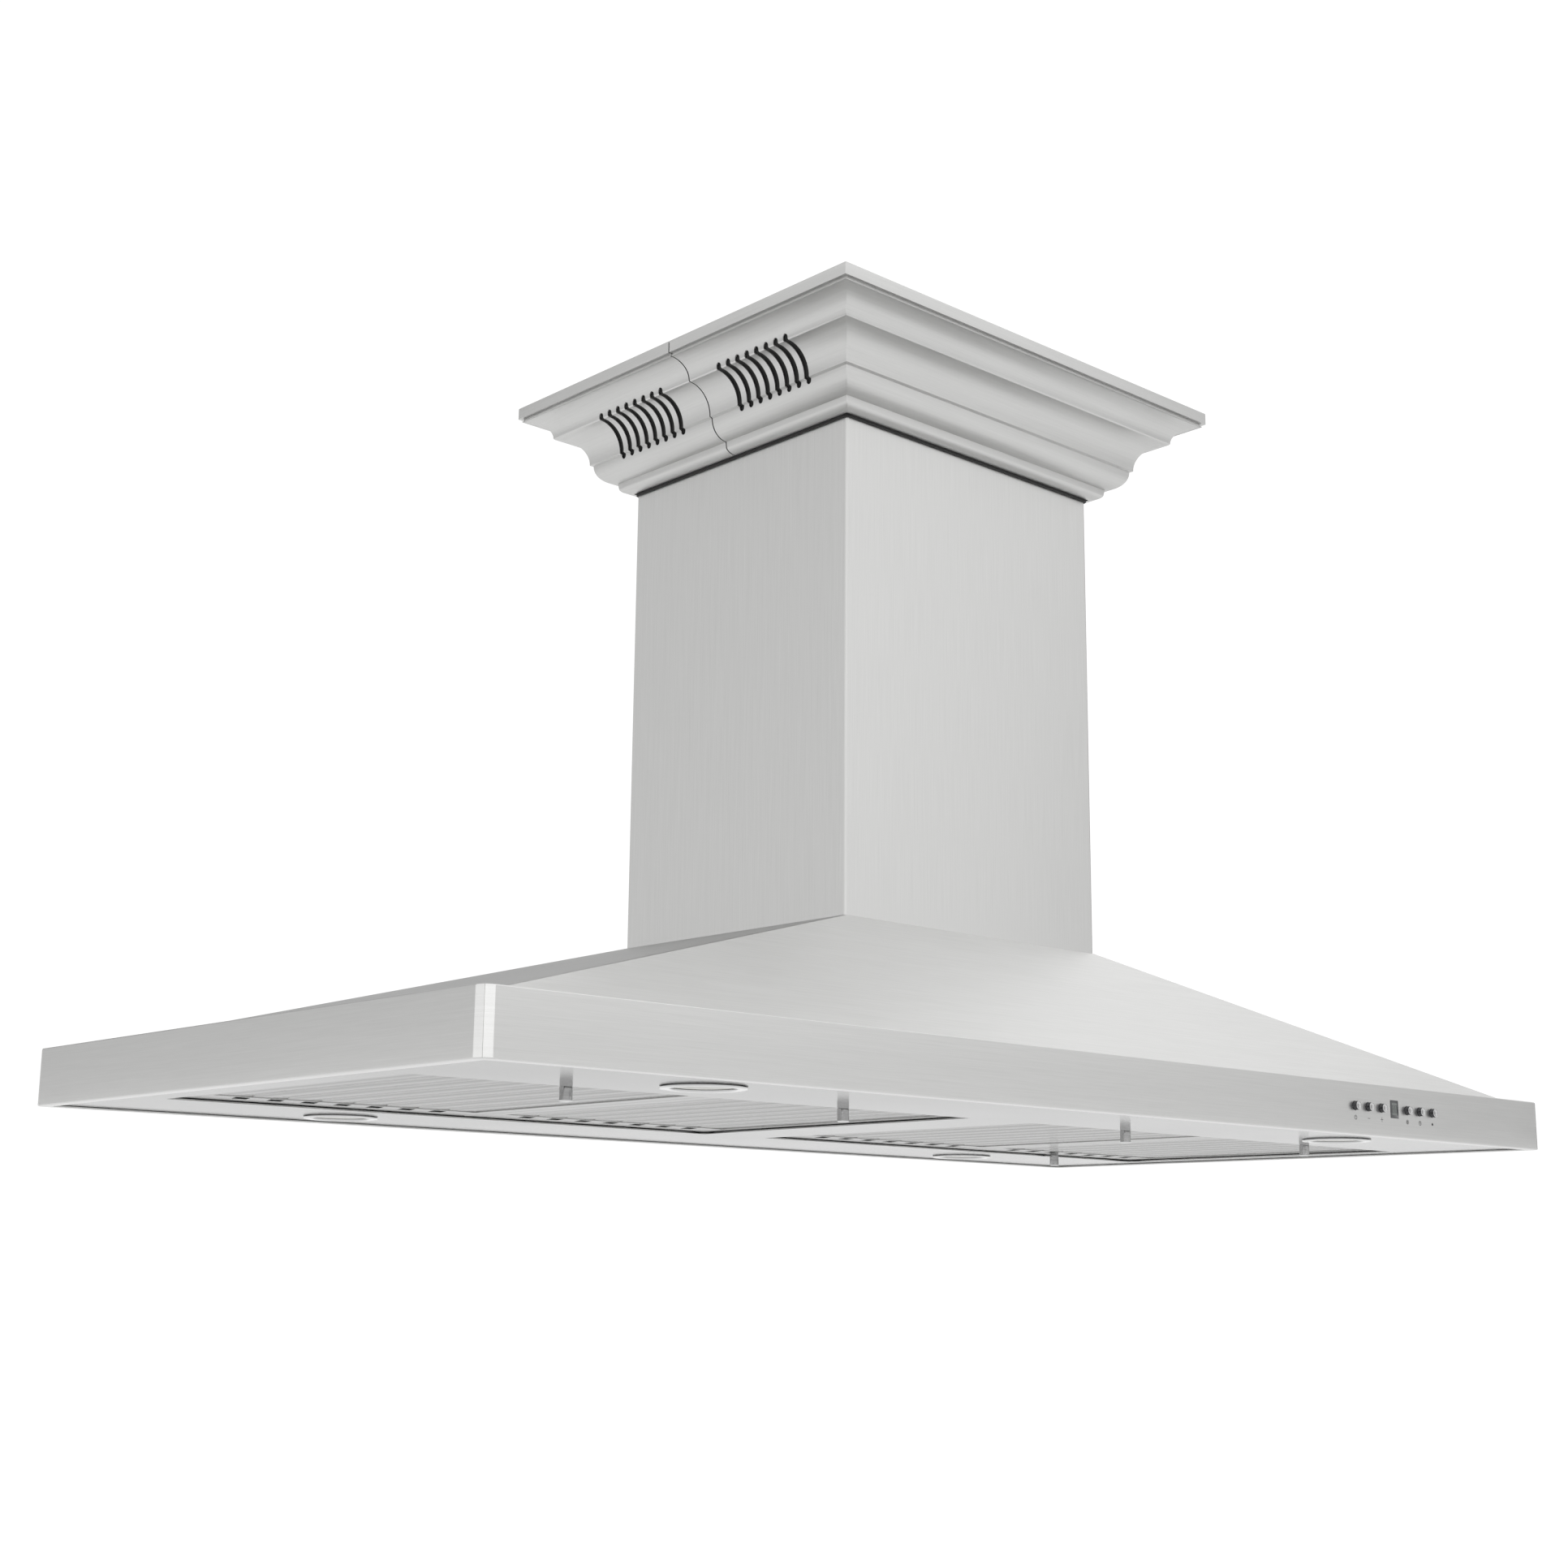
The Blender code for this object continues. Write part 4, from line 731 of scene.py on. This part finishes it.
def make_canopy():
    """One welded skin: top flange, pyramid, ledge, upright lip with dressed corners, return; the lip band
    and the side slopes are coloured darker as painted shade, the lip corners lighter as a painted
    highlight.
    """
    rings = [(frame_high.x - FLANGE_INSET, frame_high.y - FLANGE_INSET, 0.003, CANOPY_TOP_Z, 0),
             (LOWER.x + PYRAMID_FOOT, LOWER.y + PYRAMID_FOOT, FOLD, CANOPY_TOP_Z, 0),
             (HALF_W - LEDGE, HALF_D - LEDGE, FOLD, LEDGE_Z, 0)]
    for k in range(5):
        turn = math.pi / 2 * k / 4
        out = LIP_BEND * (1 - math.sin(turn))
        rings.append((HALF_W - out, HALF_D - out, LIP_CORNER - out,
                      LEDGE_Z - LIP_BEND * (1 - math.cos(turn)), SEAM_DEPTH))
    for k in range(5):
        turn = math.pi / 2 * k / 4
        out = LIP_BEND * (1 - math.cos(turn))
        rings.append((HALF_W - out, HALF_D - out, LIP_CORNER - out,
                      RIM_Z + LIP_BEND * (1 - math.sin(turn)), SEAM_DEPTH))
    rings.append((HALF_W - LIP_RETURN, HALF_D - LIP_RETURN, 0.003, RIM_Z, 0))
    rows = [at_height(rounded(x, y, radius, groove), z) for x, y, radius, z, groove in rings]
    shell = rows_to_sheet("canopy", rows, True, (0, 0, LEDGE_Z), SKIN, 12)
    drill = turned("drill", [(0, 0.006), (BUTTON_RADIUS + GAP, 0.006), (BUTTON_RADIUS + GAP, -0.006),
                             (0, -0.006)], 40)
    tools = [moved(drill, (x, -HALF_D, z), TO_FRONT) for x, z in BUTTON_PLACES]
    tools.append(block((DISPLAY_X - DISPLAY_WIDE / 2, -HALF_D - 0.005, CONTROL_Z - DISPLAY_TALL / 2),
                       (DISPLAY_X + DISPLAY_WIDE / 2, -HALF_D + 0.005, CONTROL_Z + DISPLAY_TALL / 2)))
    shell = shaped(shell, "DIFFERENCE", joined("openings", tools))
    shell.set_sharp_from_angle(angle=math.radians(12))
    skin = fit("canopy_skin", shell, LEVEL_GRAIN, "hood", "brushed_steel", "canopy_shell")
    # the upright lip band and the left and right slopes are coloured darker than the pyramid: painted
    # shade; the lip corners lighter: a painted highlight
    for finish in (BAND_SHADE_GRAIN, CORNER_HIGHLIGHT_GRAIN, SIDE_SLOPE_SHADE_GRAIN):
        skin.data.materials.append(finish)
    for face in skin.data.polygons:
        if face.center.z < LEDGE_Z - LIP_BEND / 2:
            corner = (abs(face.center.x) > HALF_W - LIP_CORNER and abs(face.center.y) > HALF_D - LIP_CORNER
                      and abs(face.normal.z) < 0.5)
            face.material_index = 2 if corner else 1
        elif abs(face.normal.x) > 0.1:
            face.material_index = 3


# ---- Filters ----
def channel(width, length, base_z, wall, steel):
    """A baffle along Y: a flat strip with both sides bent up, or down if wall is negative."""
    half = width / 2
    soft = 0.0012
    lift = math.copysign(soft, wall)
    path = [(-half, base_z + wall), (-half, base_z + lift), (-half + soft * 0.3, base_z + lift * 0.3),
            (-half + soft, base_z), (half - soft, base_z), (half - soft * 0.3, base_z + lift * 0.3),
            (half, base_z + lift), (half, base_z + wall)]
    rows = [[(x, y, z) for x, z in path] for y in (-length / 2, length / 2)]
    return rows_to_sheet("baffle", rows, False, (0, 0, base_z + wall), steel, 40)


def slanted_slot(x, near):
    """The cutter of a drain slot: a parallelogram in plan, leaning along X."""
    mesh = block((x - SLOT_WIDE / 2, near, -0.002), (x + SLOT_WIDE / 2, near + SLOT_LONG, 0.0035))
    for vertex in mesh.vertices:
        vertex.co.x += SLOT_LEAN if vertex.co.y > near + SLOT_LONG / 2 else -SLOT_LEAN
    return mesh


def make_filter_mesh(size):
    """A whole baffle filter, its origin on its hinge line: rails, staggered baffles, drains."""
    half, length, thick = size.x / 2, size.y, size.z
    half_y = length / 2
    soft = 0.0008
    inner = half - RAIL
    opening_y, opening_mid = half_y - (RAIL + END_RAIL) / 2, (RAIL - END_RAIL) / 2
    rings = [(inner, opening_y, 0.001, thick - 0.0035, opening_mid),
             (inner, opening_y, 0.001, thick, opening_mid),
             (half - soft, half_y - soft, 0.001, thick, 0), (half, half_y, 0.0015, thick - soft, 0),
             (half, half_y, 0.0015, soft, 0), (half - soft, half_y - soft, 0.001, 0, 0),
             (inner, opening_y, 0.001, 0, opening_mid), (inner, opening_y, 0.001, 0.0030, opening_mid)]
    rows = [[(px, py + shift, z) for px, py in rounded(x, y, radius)] for x, y, radius, z, shift in rings]
    rails = rows_to_sheet("rails", rows, True, (0, 0, thick / 2), 0.0008, 25)
    pitch = 2 * inner / BAFFLE_COUNT
    wide = pitch * BAFFLE_SHARE
    run = 2 * opening_y + 0.004
    slots = [slanted_slot(-inner + pitch * k, half_y - END_RAIL + 0.003) for k in range(1, BAFFLE_COUNT)]
    rails = shaped(rails, "DIFFERENCE", joined("slots", slots))
    lower = grown(ROW, {"Shape": channel(wide, run, 0.0006, BAFFLE_WALL, BAFFLE_STEEL),
                        "Count": BAFFLE_COUNT, "Pitch": pitch, "Finish": BAFFLE_GRAIN})
    upper = grown(ROW, {"Shape": channel(wide * UPPER_SHARE, run, thick - 0.0012, -BAFFLE_WALL,
                                         BAFFLE_STEEL),
                        "Count": BAFFLE_COUNT - 1, "Pitch": pitch, "Finish": BAFFLE_GRAIN})
    baffles = moved(joined("baffles", [lower, upper]), (0, opening_mid, 0))
    body = joined("baffle_filter", [rails, baffles])
    body.transform(Matrix.Translation((0, -half_y, 0)))
    return body


def make_knob_mesh():
    """Pull knob hanging from a filter: a plain polished barrel with an eased, slightly domed end."""
    r, end = KNOB_RADIUS, -KNOB_DROP
    return turned("knob", [(0, 0), (r - 0.0006, 0), (r - 0.0005, -0.0006), (r, -0.0009), (r, end + 0.0009),
                           (r - 0.0003, end + 0.0004), (r - 0.0009, end + 0.0001), (0.0018, end),
                           (0, end)], 40)


def make_filters():
    low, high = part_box("baffle_filter_left_outer")
    body, knob = make_filter_mesh(high - low), make_knob_mesh()
    for where in ("left_outer", "left_inner", "right_inner", "right_outer"):
        low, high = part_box("baffle_filter_" + where)
        place = ((low.x + high.x) / 2, high.y, low.z)
        fit("filter_" + where, moved(body, place), BAFFLE_GRAIN, "filter_" + where, "filter_steel",
            "baffle_filter_" + where)
        for end in ("", "_back"):
            name = "filter_knob_" + where + end
            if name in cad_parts:
                low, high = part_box(name)
                place = ((low.x + high.x) / 2, (low.y + high.y) / 2, high.z)
                fit("pull_" + where + end, moved(knob, place), BRIGHT, "filter_" + where,
                    "polished_steel", name)


# ---- Lamps ----
def make_lamps():
    """Trim rings with rolled edges, frosted lenses and the finned lamp cases above them."""
    low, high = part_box("lamp_bezel_front_left")
    flange, opening, bore, outer = (high.x - low.x) / 2, LAMP_OPENING, LAMP_BORE, LAMP_TUBE
    thick, top = 0.0015, 0.014
    ring = turned("trim", [(outer, top), (outer, 0), (flange - 0.0004, 0), (flange, -0.0004),
                           (flange - 0.0003, -0.0011), (flange - 0.0011, -thick),
                           (opening + 0.0009, -thick),
                           (opening + 0.0002, -thick + 0.0003), (opening, -thick + 0.0009), (opening, 0),
                           (bore, 0), (bore, top)], 96)
    r = bore - GAP
    lens = turned("lens", [(0, 0.0024), (r, 0.0024), (r, 0.0006), (r - 0.0003, GAP), (opening, GAP),
                           (opening * 0.8, GAP - 0.0002), (opening * 0.45, GAP - 0.0005),
                           (0, GAP - 0.0006)], 96)
    case = turned("case", [(0, 0.0060), (r * 0.72, 0.0060), (r, 0.0050), (r, 0.0027), (0, 0.0027)], 64)
    fins = grown(RING, {"Shape": block((-0.0045, -0.0005, 0.0045), (0.0045, 0.0005, 0.0137), 0.0002, 1),
                        "Count": LAMP_FINS, "Radius": r - 0.0065, "Finish": ZINC})
    case = joined("case", [case, fins])
    for where in ("front_left", "front_right", "back_left", "back_right"):
        low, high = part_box("lamp_bezel_" + where)
        place = ((low.x + high.x) / 2, (low.y + high.y) / 2, low.z + thick)
        fit("lamp_trim_" + where, moved(ring, place), BRIGHT, "hood", "polished_steel",
            "lamp_bezel_" + where)
        fit("lamp_lens_" + where, moved(lens, place), LENS, "hood", "lamp_lens", "lamp_" + where)
        fit("lamp_case_" + where, moved(case, place), ZINC, "hood", "zinc_steel")


# ---- Controls ----
def stroke(ax, az, bx, bz, width=0.00045):
    """A printed line between two points on the front face, as a very thin block."""
    start, end = Vector((ax, az)), Vector((bx, bz))
    along = (end - start).normalized() * width / 2
    across = Vector((-along.y, along.x))
    corners = [start - along - across, end + along - across, end + along + across, start - along + across]
    bm = bmesh.new()
    front = [bm.verts.new((c.x, -0.00005, c.y)) for c in corners]
    back = [bm.verts.new((c.x, 0.00005, c.y)) for c in corners]
    bm.faces.new(front)
    bm.faces.new(back[::-1])
    for k in range(4):
        n = (k + 1) % 4
        bm.faces.new((front[k], back[k], back[n], front[n]))
    bmesh.ops.recalc_face_normals(bm, faces=bm.faces)
    return to_mesh("stroke", bm)


def hoop(radius, start=0, sweep=360, steps=16):
    """Strokes round part of a circle."""
    points = [(radius * math.sin(math.radians(start + sweep * k / steps)),
               radius * math.cos(math.radians(start + sweep * k / steps))) for k in range(steps + 1)]
    return [stroke(*a, *b) for a, b in zip(points, points[1:])]


def make_marks():
    """Plain marks printed under the buttons: on, less, more, lamp, clock and dot."""
    s = 0.0017
    on = hoop(s, 35, 290) + [stroke(0, 0.0002, 0, s * 1.1)]
    less = [stroke(-s, 0, s, 0)]
    more = less + [stroke(0, -s, 0, s)]
    lamp = hoop(s * 0.55) + [stroke(s * 0.85 * math.sin(a), s * 0.85 * math.cos(a), s * 1.2 * math.sin(a),
                                    s * 1.2 * math.cos(a)) for a in [math.pi * k / 4 for k in range(8)]]
    clock = hoop(s) + [stroke(0, 0, 0, s * 0.65), stroke(0, 0, s * 0.5, 0)]
    dot = hoop(s * 0.5) + hoop(s * 0.2)
    marks = []
    for (x, z), shapes in zip(BUTTON_PLACES, (on, less, more, lamp, clock, dot)):
        marks += [moved(shape, (x, -HALF_D, z - 0.0098)) for shape in shapes]
    fit("printed_marks", joined("marks", marks), INK, "hood", "black_plastic")


def make_buttons():
    r, edge, back = BUTTON_RADIUS, 0.0005, -(SKIN + GAP)
    cap = turned("cap", [(0, BUTTON_PROUD - 0.0004), (r * 0.35, BUTTON_PROUD - 0.00035),
                         (r * 0.62, BUTTON_PROUD - 0.00015), (r * 0.75, BUTTON_PROUD),
                         (r - edge, BUTTON_PROUD - 0.00005), (r - edge * 0.3, BUTTON_PROUD - edge * 0.35),
                         (r, BUTTON_PROUD - edge), (r, back), (r + 0.0012, back),
                         (r + 0.0012, back - 0.001),
                         (0.002, back - 0.001), (0.002, back - 0.0072), (0, back - 0.0072)], 40)
    for k, (x, z) in enumerate(BUTTON_PLACES, 1):
        button = fit("push_button_%d" % k, moved(cap, (x, -HALF_D, z), TO_FRONT), BRIGHT, "button_%d" % k,
                     "polished_steel", "button_%d" % k)
        # the buttons' sides take the dark steel as painted shade; the front faces stay bright
        button.data.materials.append(BUTTON_SIDE_SHADE)
        for face in button.data.polygons:
            face.material_index = int(abs(face.normal.y) < 0.6)


def make_display():
    """Smoked window in its frame, with the grey panel and its dark segments behind the face."""
    low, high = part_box("display_window")
    face = low.y
    wide, tall = DISPLAY_WIDE - 2 * GAP, DISPLAY_TALL - 2 * GAP
    x, z = DISPLAY_X, CONTROL_Z
    window = block((x - wide / 2, face, z - tall / 2),
                   (x + wide / 2, -HALF_D + SKIN + GAP, z + tall / 2), 0.0003)
    flange = block((low.x, -HALF_D + SKIN + GAP, low.z), (high.x, high.y, high.z), 0.0002)
    fit("display_glazing", joined("glazing", [window, flange]), SMOKED, "hood", "display_glass",
        "display_window")
    panel = block((x - wide / 2 + 0.0022, face - 0.00005, z - tall / 2 + 0.0024),
                  (x + wide / 2 - 0.0022, face + 0.0002, z + tall / 2 - 0.0020), 0.00004, 1)
    fit("display_panel", panel, CRYSTAL, "hood", "display_glass")
    bars = []
    for cx in (-0.0020, 0.0020):
        for dz in (-0.0030, 0, 0.0030):
            bars.append(stroke(cx - 0.0009, dz, cx + 0.0009, dz, 0.0004))
        for dx in (-0.0012, 0.0012):
            for a, b in ((-0.0027, -0.0004), (0.0004, 0.0027)):
                bars.append(stroke(cx + dx, a, cx + dx, b, 0.0004))
    bars = [moved(bar, (x, face - 0.00008, z + 0.0002)) for bar in bars]
    fit("display_digits", joined("digits", bars), SEGMENT, "hood", "display_glass")


# ---- Blower and duct ----
def rod(radius, low_x, high_x, sides=96):
    """A plain rod along X, for the housing and its cutters."""
    rod_mesh = turned("rod", [(0, high_x), (radius, high_x), (radius, low_x), (0, low_x)], sides)
    rod_mesh.transform(Matrix.Translation((0, 0, SCROLL_Z)) @ TO_RIGHT)
    return rod_mesh


def make_scroll():
    """Pressed scroll with its neck and bearing ears, and a rolled inlet at each side."""
    half, radius, wall = collar_high.x, collar_high.y, SCROLL_STEEL
    neck_z, ear_z = collar_low.z - GAP, frame_high.z + GAP
    ears_low, ears_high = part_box("blower_housing")
    housing = shaped(rod(radius, -half, half), "UNION",
                     block((-half, -radius, SCROLL_Z), (half, radius, neck_z)),
                     block((ears_low.x, ears_low.y, ear_z), (ears_high.x, ears_high.y, ear_z + EAR_THICK)))
    housing = shaped(housing, "DIFFERENCE", rod(radius - wall, -half + wall, half - wall),
                     block((-half + wall, -radius + wall, SCROLL_Z),
                           (half - wall, radius - wall, neck_z + 0.01)),
                     rod(INLET_RADIUS, -half - 0.01, half + 0.01))
    fit("scroll_housing", housing, ZINC, "hood", "zinc_steel", "blower_housing")
    mouth = turned("mouth", [(0.0545, 0.0000), (0.0545, 0.0008), (0.0510, 0.0014), (0.0494, 0.0008),
                             (0.0486, -0.0008), (0.0484, -0.0030), (0.0491, -0.0030), (0.0494, -0.0010),
                             (INLET_RADIUS, 0.0)], 96)
    mouths = [moved(mouth, (-half, 0, SCROLL_Z), TO_LEFT), moved(mouth, (half, 0, SCROLL_Z), TO_RIGHT)]
    fit("inlet_rings", joined("inlet_rings", mouths), ZINC, "hood", "zinc_steel")


def blade_mesh(length):
    """One bowed blade of a wheel, along +Z, its outer edge at the origin."""
    curve = [(-BLADE_CHORD + BLADE_CHORD * t, BLADE_BOW * math.sin(math.pi * t * 0.9))
             for t in (0.0, 0.25, 0.5, 0.75, 1.0)]
    bm = bmesh.new()
    grid = [[bm.verts.new((x, y + shift, z)) for x, y in curve]
            for shift in (0.0, BLADE_STEEL) for z in (0.001, length - 0.001)]
    for a, b in ((0, 1), (3, 2)):
        for k in range(4):
            bm.faces.new((grid[a][k], grid[a][k + 1], grid[b][k + 1], grid[b][k]))
    for k in range(4):
        bm.faces.new((grid[0][k], grid[2][k], grid[2][k + 1], grid[0][k + 1]))
        bm.faces.new((grid[1][k], grid[1][k + 1], grid[3][k + 1], grid[3][k]))
    for k in (0, 4):
        bm.faces.new((grid[0][k], grid[1][k], grid[3][k], grid[2][k]))
    bmesh.ops.recalc_face_normals(bm, faces=bm.faces)
    return to_mesh("blade", bm)


def make_rotor():
    """The two bladed wheels, each a disc and a rim with a ring of blades, and their shaft."""
    low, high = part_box("impeller_right")
    start, length, outer = low.x, high.x - low.x, (high.z - low.z) / 2
    disc = turned("disc", [(0.0043, 0), (0.0043, 0.008), (0.012, 0.008), (0.012, 0.002),
                           (outer - 0.002, 0.002), (outer, 0.0012), (outer, 0)], 72)
    rim = turned("rim", [(outer, length), (outer, length - 0.004), (outer - 0.0014, length - 0.004),
                         (outer - 0.008, length - 0.0015), (outer - 0.008, length)], 72)
    blades = grown(RING, {"Shape": blade_mesh(length), "Count": BLADES, "Radius": outer - 0.0004,
                          "Finish": ZINC})
    wheel = joined("wheel", [disc, rim, blades])
    for where, x, turn in (("right", start, TO_RIGHT), ("left", -start, TO_LEFT)):
        fit("wheel_" + where, moved(wheel, (x, 0, SCROLL_Z), turn), ZINC, "blower_rotor", "zinc_steel",
            "impeller_" + where)
    tip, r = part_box("motor_shaft")[1].x, SHAFT_RADIUS
    shaft = turned("shaft", [(0, tip), (r - 0.0005, tip), (r, tip - 0.0005), (r, -tip + 0.0005),
                             (r - 0.0005, -tip), (0, -tip)], 32)
    fit("shaft", moved(shaft, (0, 0, SCROLL_Z), TO_RIGHT), BRIGHT, "blower_rotor", "polished_steel",
        "motor_shaft")


def make_collar():
    """Outlet plate with its round spigot, beaded near the top, drilled for the flaps' axles."""
    low, high = collar_low, collar_high
    wall, radius = SPIGOT_WALL, high.y - 0.003
    base, top = low.z + COLLAR_PLATE, high.z
    plate = flat_plate([[(low.x, low.y), (high.x, low.y), (high.x, high.y), (low.x, high.y)],
                        circle(radius - wall)], COLLAR_PLATE, low.z)
    spigot = turned("spigot", [(radius, base), (radius, top - 0.014), (radius + 0.0012, top - 0.0125),
                               (radius + 0.0012, top - 0.0115), (radius, top - 0.010), (radius, top),
                               (radius - wall, top), (radius - wall, base)], 96)
    flap_low, flap_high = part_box("damper_flap_back")
    axle_z = (flap_low.z + flap_high.z) / 2
    bore = turned("bore", [(0, 0.12), (AXLE_BORE, 0.12), (AXLE_BORE, -0.12), (0, -0.12)], 24)
    bores = [moved(bore, (0, side * 0.006, axle_z), TO_RIGHT) for side in (-1, 1)]
    spigot = shaped(spigot, "DIFFERENCE", *bores)
    fit("outlet_collar", joined("collar", [plate, spigot]), ZINC, "hood", "zinc_steel", "duct_collar")


def make_ceiling_plate():
    """Ceiling plate with its duct hole and four anchor holes, corners eased."""
    thick = plate_high.z - plate_low.z
    outline = rounded(plate_high.x, plate_high.y, 0.004)
    anchors = [circle(ANCHOR_HOLE, place, 32)
               for place in four(plate_high.x - ANCHOR_INSET, plate_high.y - ANCHOR_INSET)]
    plate = flat_plate([outline, circle(DUCT_HOLE), *anchors], thick, plate_low.z)
    fit("ceiling_base", plate, ZINC, "ceiling", "zinc_steel", "ceiling_plate")


def bolt_mesh(across, height):
    """Hexagon head on a washer, along +Z from the face it sits on."""
    washer = turned("washer", [(0, 0.0008), (across * 0.95, 0.0008), (across, 0.0005), (across, 0),
                               (0, 0)], 16)
    head = turned("head", [(0, height), (across * 0.52, height), (across * 0.62, height - 0.0006),
                           (across * 0.62, 0.0006), (0, 0.0006)], 6)
    return joined("bolt", [washer, head])


def make_fasteners():
    """Bolts that hold the posts, the frame, the blower's ears and the crown's clips."""
    down = (math.pi, 0.0, 0.0)
    anchors = four(plate_high.x - ANCHOR_INSET, plate_high.y - ANCHOR_INSET, plate_low.z)
    clips = four(plate_high.x - 0.012, 0.014, plate_low.z - 0.0023)
    mesh = grown(FASTENERS, {"Shape": bolt_mesh(0.0062, 0.0048), "Direction": down, "Seed": 3,
                             "Finish": ZINC},
                 anchors + clips)
    fit("ceiling_bolts", mesh, ZINC, "ceiling", "zinc_steel")
    post_low, post_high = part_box("lower_post_back_right")
    feet = four(post_high.x - 0.014, post_high.y - 0.014, post_low.z + 0.002)
    ears_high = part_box("blower_housing")[1]
    ears = four(ears_high.x - 0.006, 0.070, frame_high.z + GAP + EAR_THICK)
    mesh = grown(FASTENERS, {"Shape": bolt_mesh(0.0045, 0.0040), "Direction": (0.0, 0.0, 0.0), "Seed": 5,
                             "Finish": ZINC}, feet + ears)
    fit("frame_bolts", mesh, ZINC, "hood", "zinc_steel")


# ---- Assembly ----
make_crown("crown_front", -1)
make_crown("crown_rear", 1)
make_crown_lining()
make_ceiling_plate()
make_chimney("upper_chimney", UPPER, "ceiling")
make_chimney("lower_chimney", LOWER, "hood")
make_canopy()
make_filters()
make_lamps()
make_buttons()
make_display()
make_marks()
make_scroll()
make_rotor()
make_collar()
make_fasteners()

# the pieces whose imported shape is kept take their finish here
KEPT = {"crown_clip_left": ZINC, "crown_clip_right": ZINC, "speaker_front": BLACK, "speaker_rear": BLACK,
        "audio_module": BLACK, "filter_pan": PAN_GRAIN, "lower_frame": ZINC, "blower_motor": PAINT,
        "control_cover": BLACK, "control_board": BOARD, "junction_box": ZINC, "lamp_driver": BLACK,
        "damper_flap_front": ZINC, "damper_flap_back": ZINC}
for prefix in ("upper_post_", "lower_post_"):
    for where in ("back_right", "back_left", "front_left", "front_right"):
        KEPT[prefix + where] = ZINC
for node, finish in KEPT.items():
    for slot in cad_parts[node].material_slots:
        slot.material = finish

# ---- Floor, light and camera ----
FLOOR_Z = RIM_Z - 3.40        # deep enough for a view up at the filters
FLOOR_SIZE, CLIP_END = 95.0, 400.0

# (pole, start, end, change): panels high at the back, high in front and at the back left,
# and a dim right side
GLOWS = (((0.50, 0.28, 0.82), 0.80, 1.0, 0.35), ((0.60, -0.62, 0.50), 0.80, 1.0, 0.25),
         ((-0.62, 0.78, -0.06), 0.85, 1.0, 0.14), ((1.0, 0.0, 0.0), 0.80, 0.98, -0.38))

CAMERA_PLACE = (-1.36363, -1.38141, RIM_Z - 0.12326)
CAMERA_TURN = (42.6395, 12.3232, 0.5668)     # yaw, pitch and roll, degrees
CAMERA_LENS = 51.94


def make_floor():
    bm = bmesh.new()
    bmesh.ops.create_grid(bm, x_segments=4, y_segments=4, size=FLOOR_SIZE)
    bmesh.ops.translate(bm, vec=(0, 0, FLOOR_Z), verts=bm.verts)
    floor = hold("studio_floor", to_mesh("studio_floor", bm))
    floor.data.materials.append(FLOOR_PAINT)


def soft_light(name, place, aim, size, power):
    data = bpy.data.lights.new(name, "AREA")
    data.shape = "RECTANGLE"
    data.size, data.size_y = size
    data.energy = power
    light = hold(name, data)
    light.location = place
    light.rotation_euler = (Vector(aim) - Vector(place)).to_track_quat("-Z", "Y").to_euler()


def glow_toward(tree, direction, pole, start, end, dim, bright):
    """Runs a level from one value to another as the direction turns to a pole."""
    facing = add_node(tree, "ShaderNodeVectorMath", {"operation": "DOT_PRODUCT", 1: pole}, {0: direction})
    return add_node(tree, "ShaderNodeMapRange",
                    {"interpolation_type": "SMOOTHSTEP" if start > 0 else "LINEAR", "From Min": start,
                     "From Max": end, "To Min": dim, "To Max": bright},
                    {"Value": facing.outputs["Value"]}).outputs[0]


def make_studio():
    """White room light, strongest from the front left, with a soft panel high at the back."""
    world = bpy.data.worlds.new("white_room")
    bpy.context.scene.world = world
    world.use_nodes = True
    tree = world.node_tree
    room = tree.nodes["Background"]
    direction = add_node(tree, "ShaderNodeTexCoord").outputs["Generated"]
    level = glow_toward(tree, direction, (-0.54, -0.82, 0.19), -1.0, 1.0, 0.57, 1.24)
    for pole, start, end, change in GLOWS:
        panel = glow_toward(tree, direction, pole, start, end, 0.0, change)
        level = add_node(tree, "ShaderNodeMath", {"operation": "ADD"}, {0: level, 1: panel}).outputs[0]
    seen = add_node(tree, "ShaderNodeLightPath").outputs["Is Camera Ray"]
    clear = add_node(tree, "ShaderNodeMix", {"data_type": "FLOAT", 3: 1.05}, {0: seen, 2: level})
    tree.links.new(clear.outputs[0], room.inputs["Strength"])
    room.inputs["Color"].default_value = linear("#FFFFFF")
    soft_light("front_soft", (-2.6, -3.0, 0.4), (0, 0, -0.4), (2.4, 2.4), 1.5)
    glow = bpy.data.lights.new("overhead_glow", "SUN")
    glow.energy = 0.75
    glow.angle = math.radians(90)
    hold("overhead_glow", glow)


def make_camera():
    """Camera below and in front of the left corner, looking up at the hood."""
    yaw, pitch, roll = (math.radians(angle) for angle in CAMERA_TURN)
    ahead = Vector((math.sin(yaw) * math.cos(pitch), math.cos(yaw) * math.cos(pitch), math.sin(pitch)))
    right = Vector((math.cos(yaw), -math.sin(yaw), 0))
    up = right.cross(ahead)
    right, up = (math.cos(roll) * right + math.sin(roll) * up, math.cos(roll) * up - math.sin(roll) * right)
    data = bpy.data.cameras.new("camera")
    data.lens = CAMERA_LENS
    data.sensor_width = 36.0
    data.clip_end = CLIP_END
    camera = hold("camera", data)
    turn = Matrix((right, up, -ahead)).transposed().to_4x4()
    camera.matrix_world = Matrix.Translation(CAMERA_PLACE) @ turn
    bpy.context.scene.camera = camera


make_floor()
make_studio()
make_camera()
bpy.context.scene.view_settings.view_transform = "Standard"
bpy.context.scene.view_settings.look = "None"
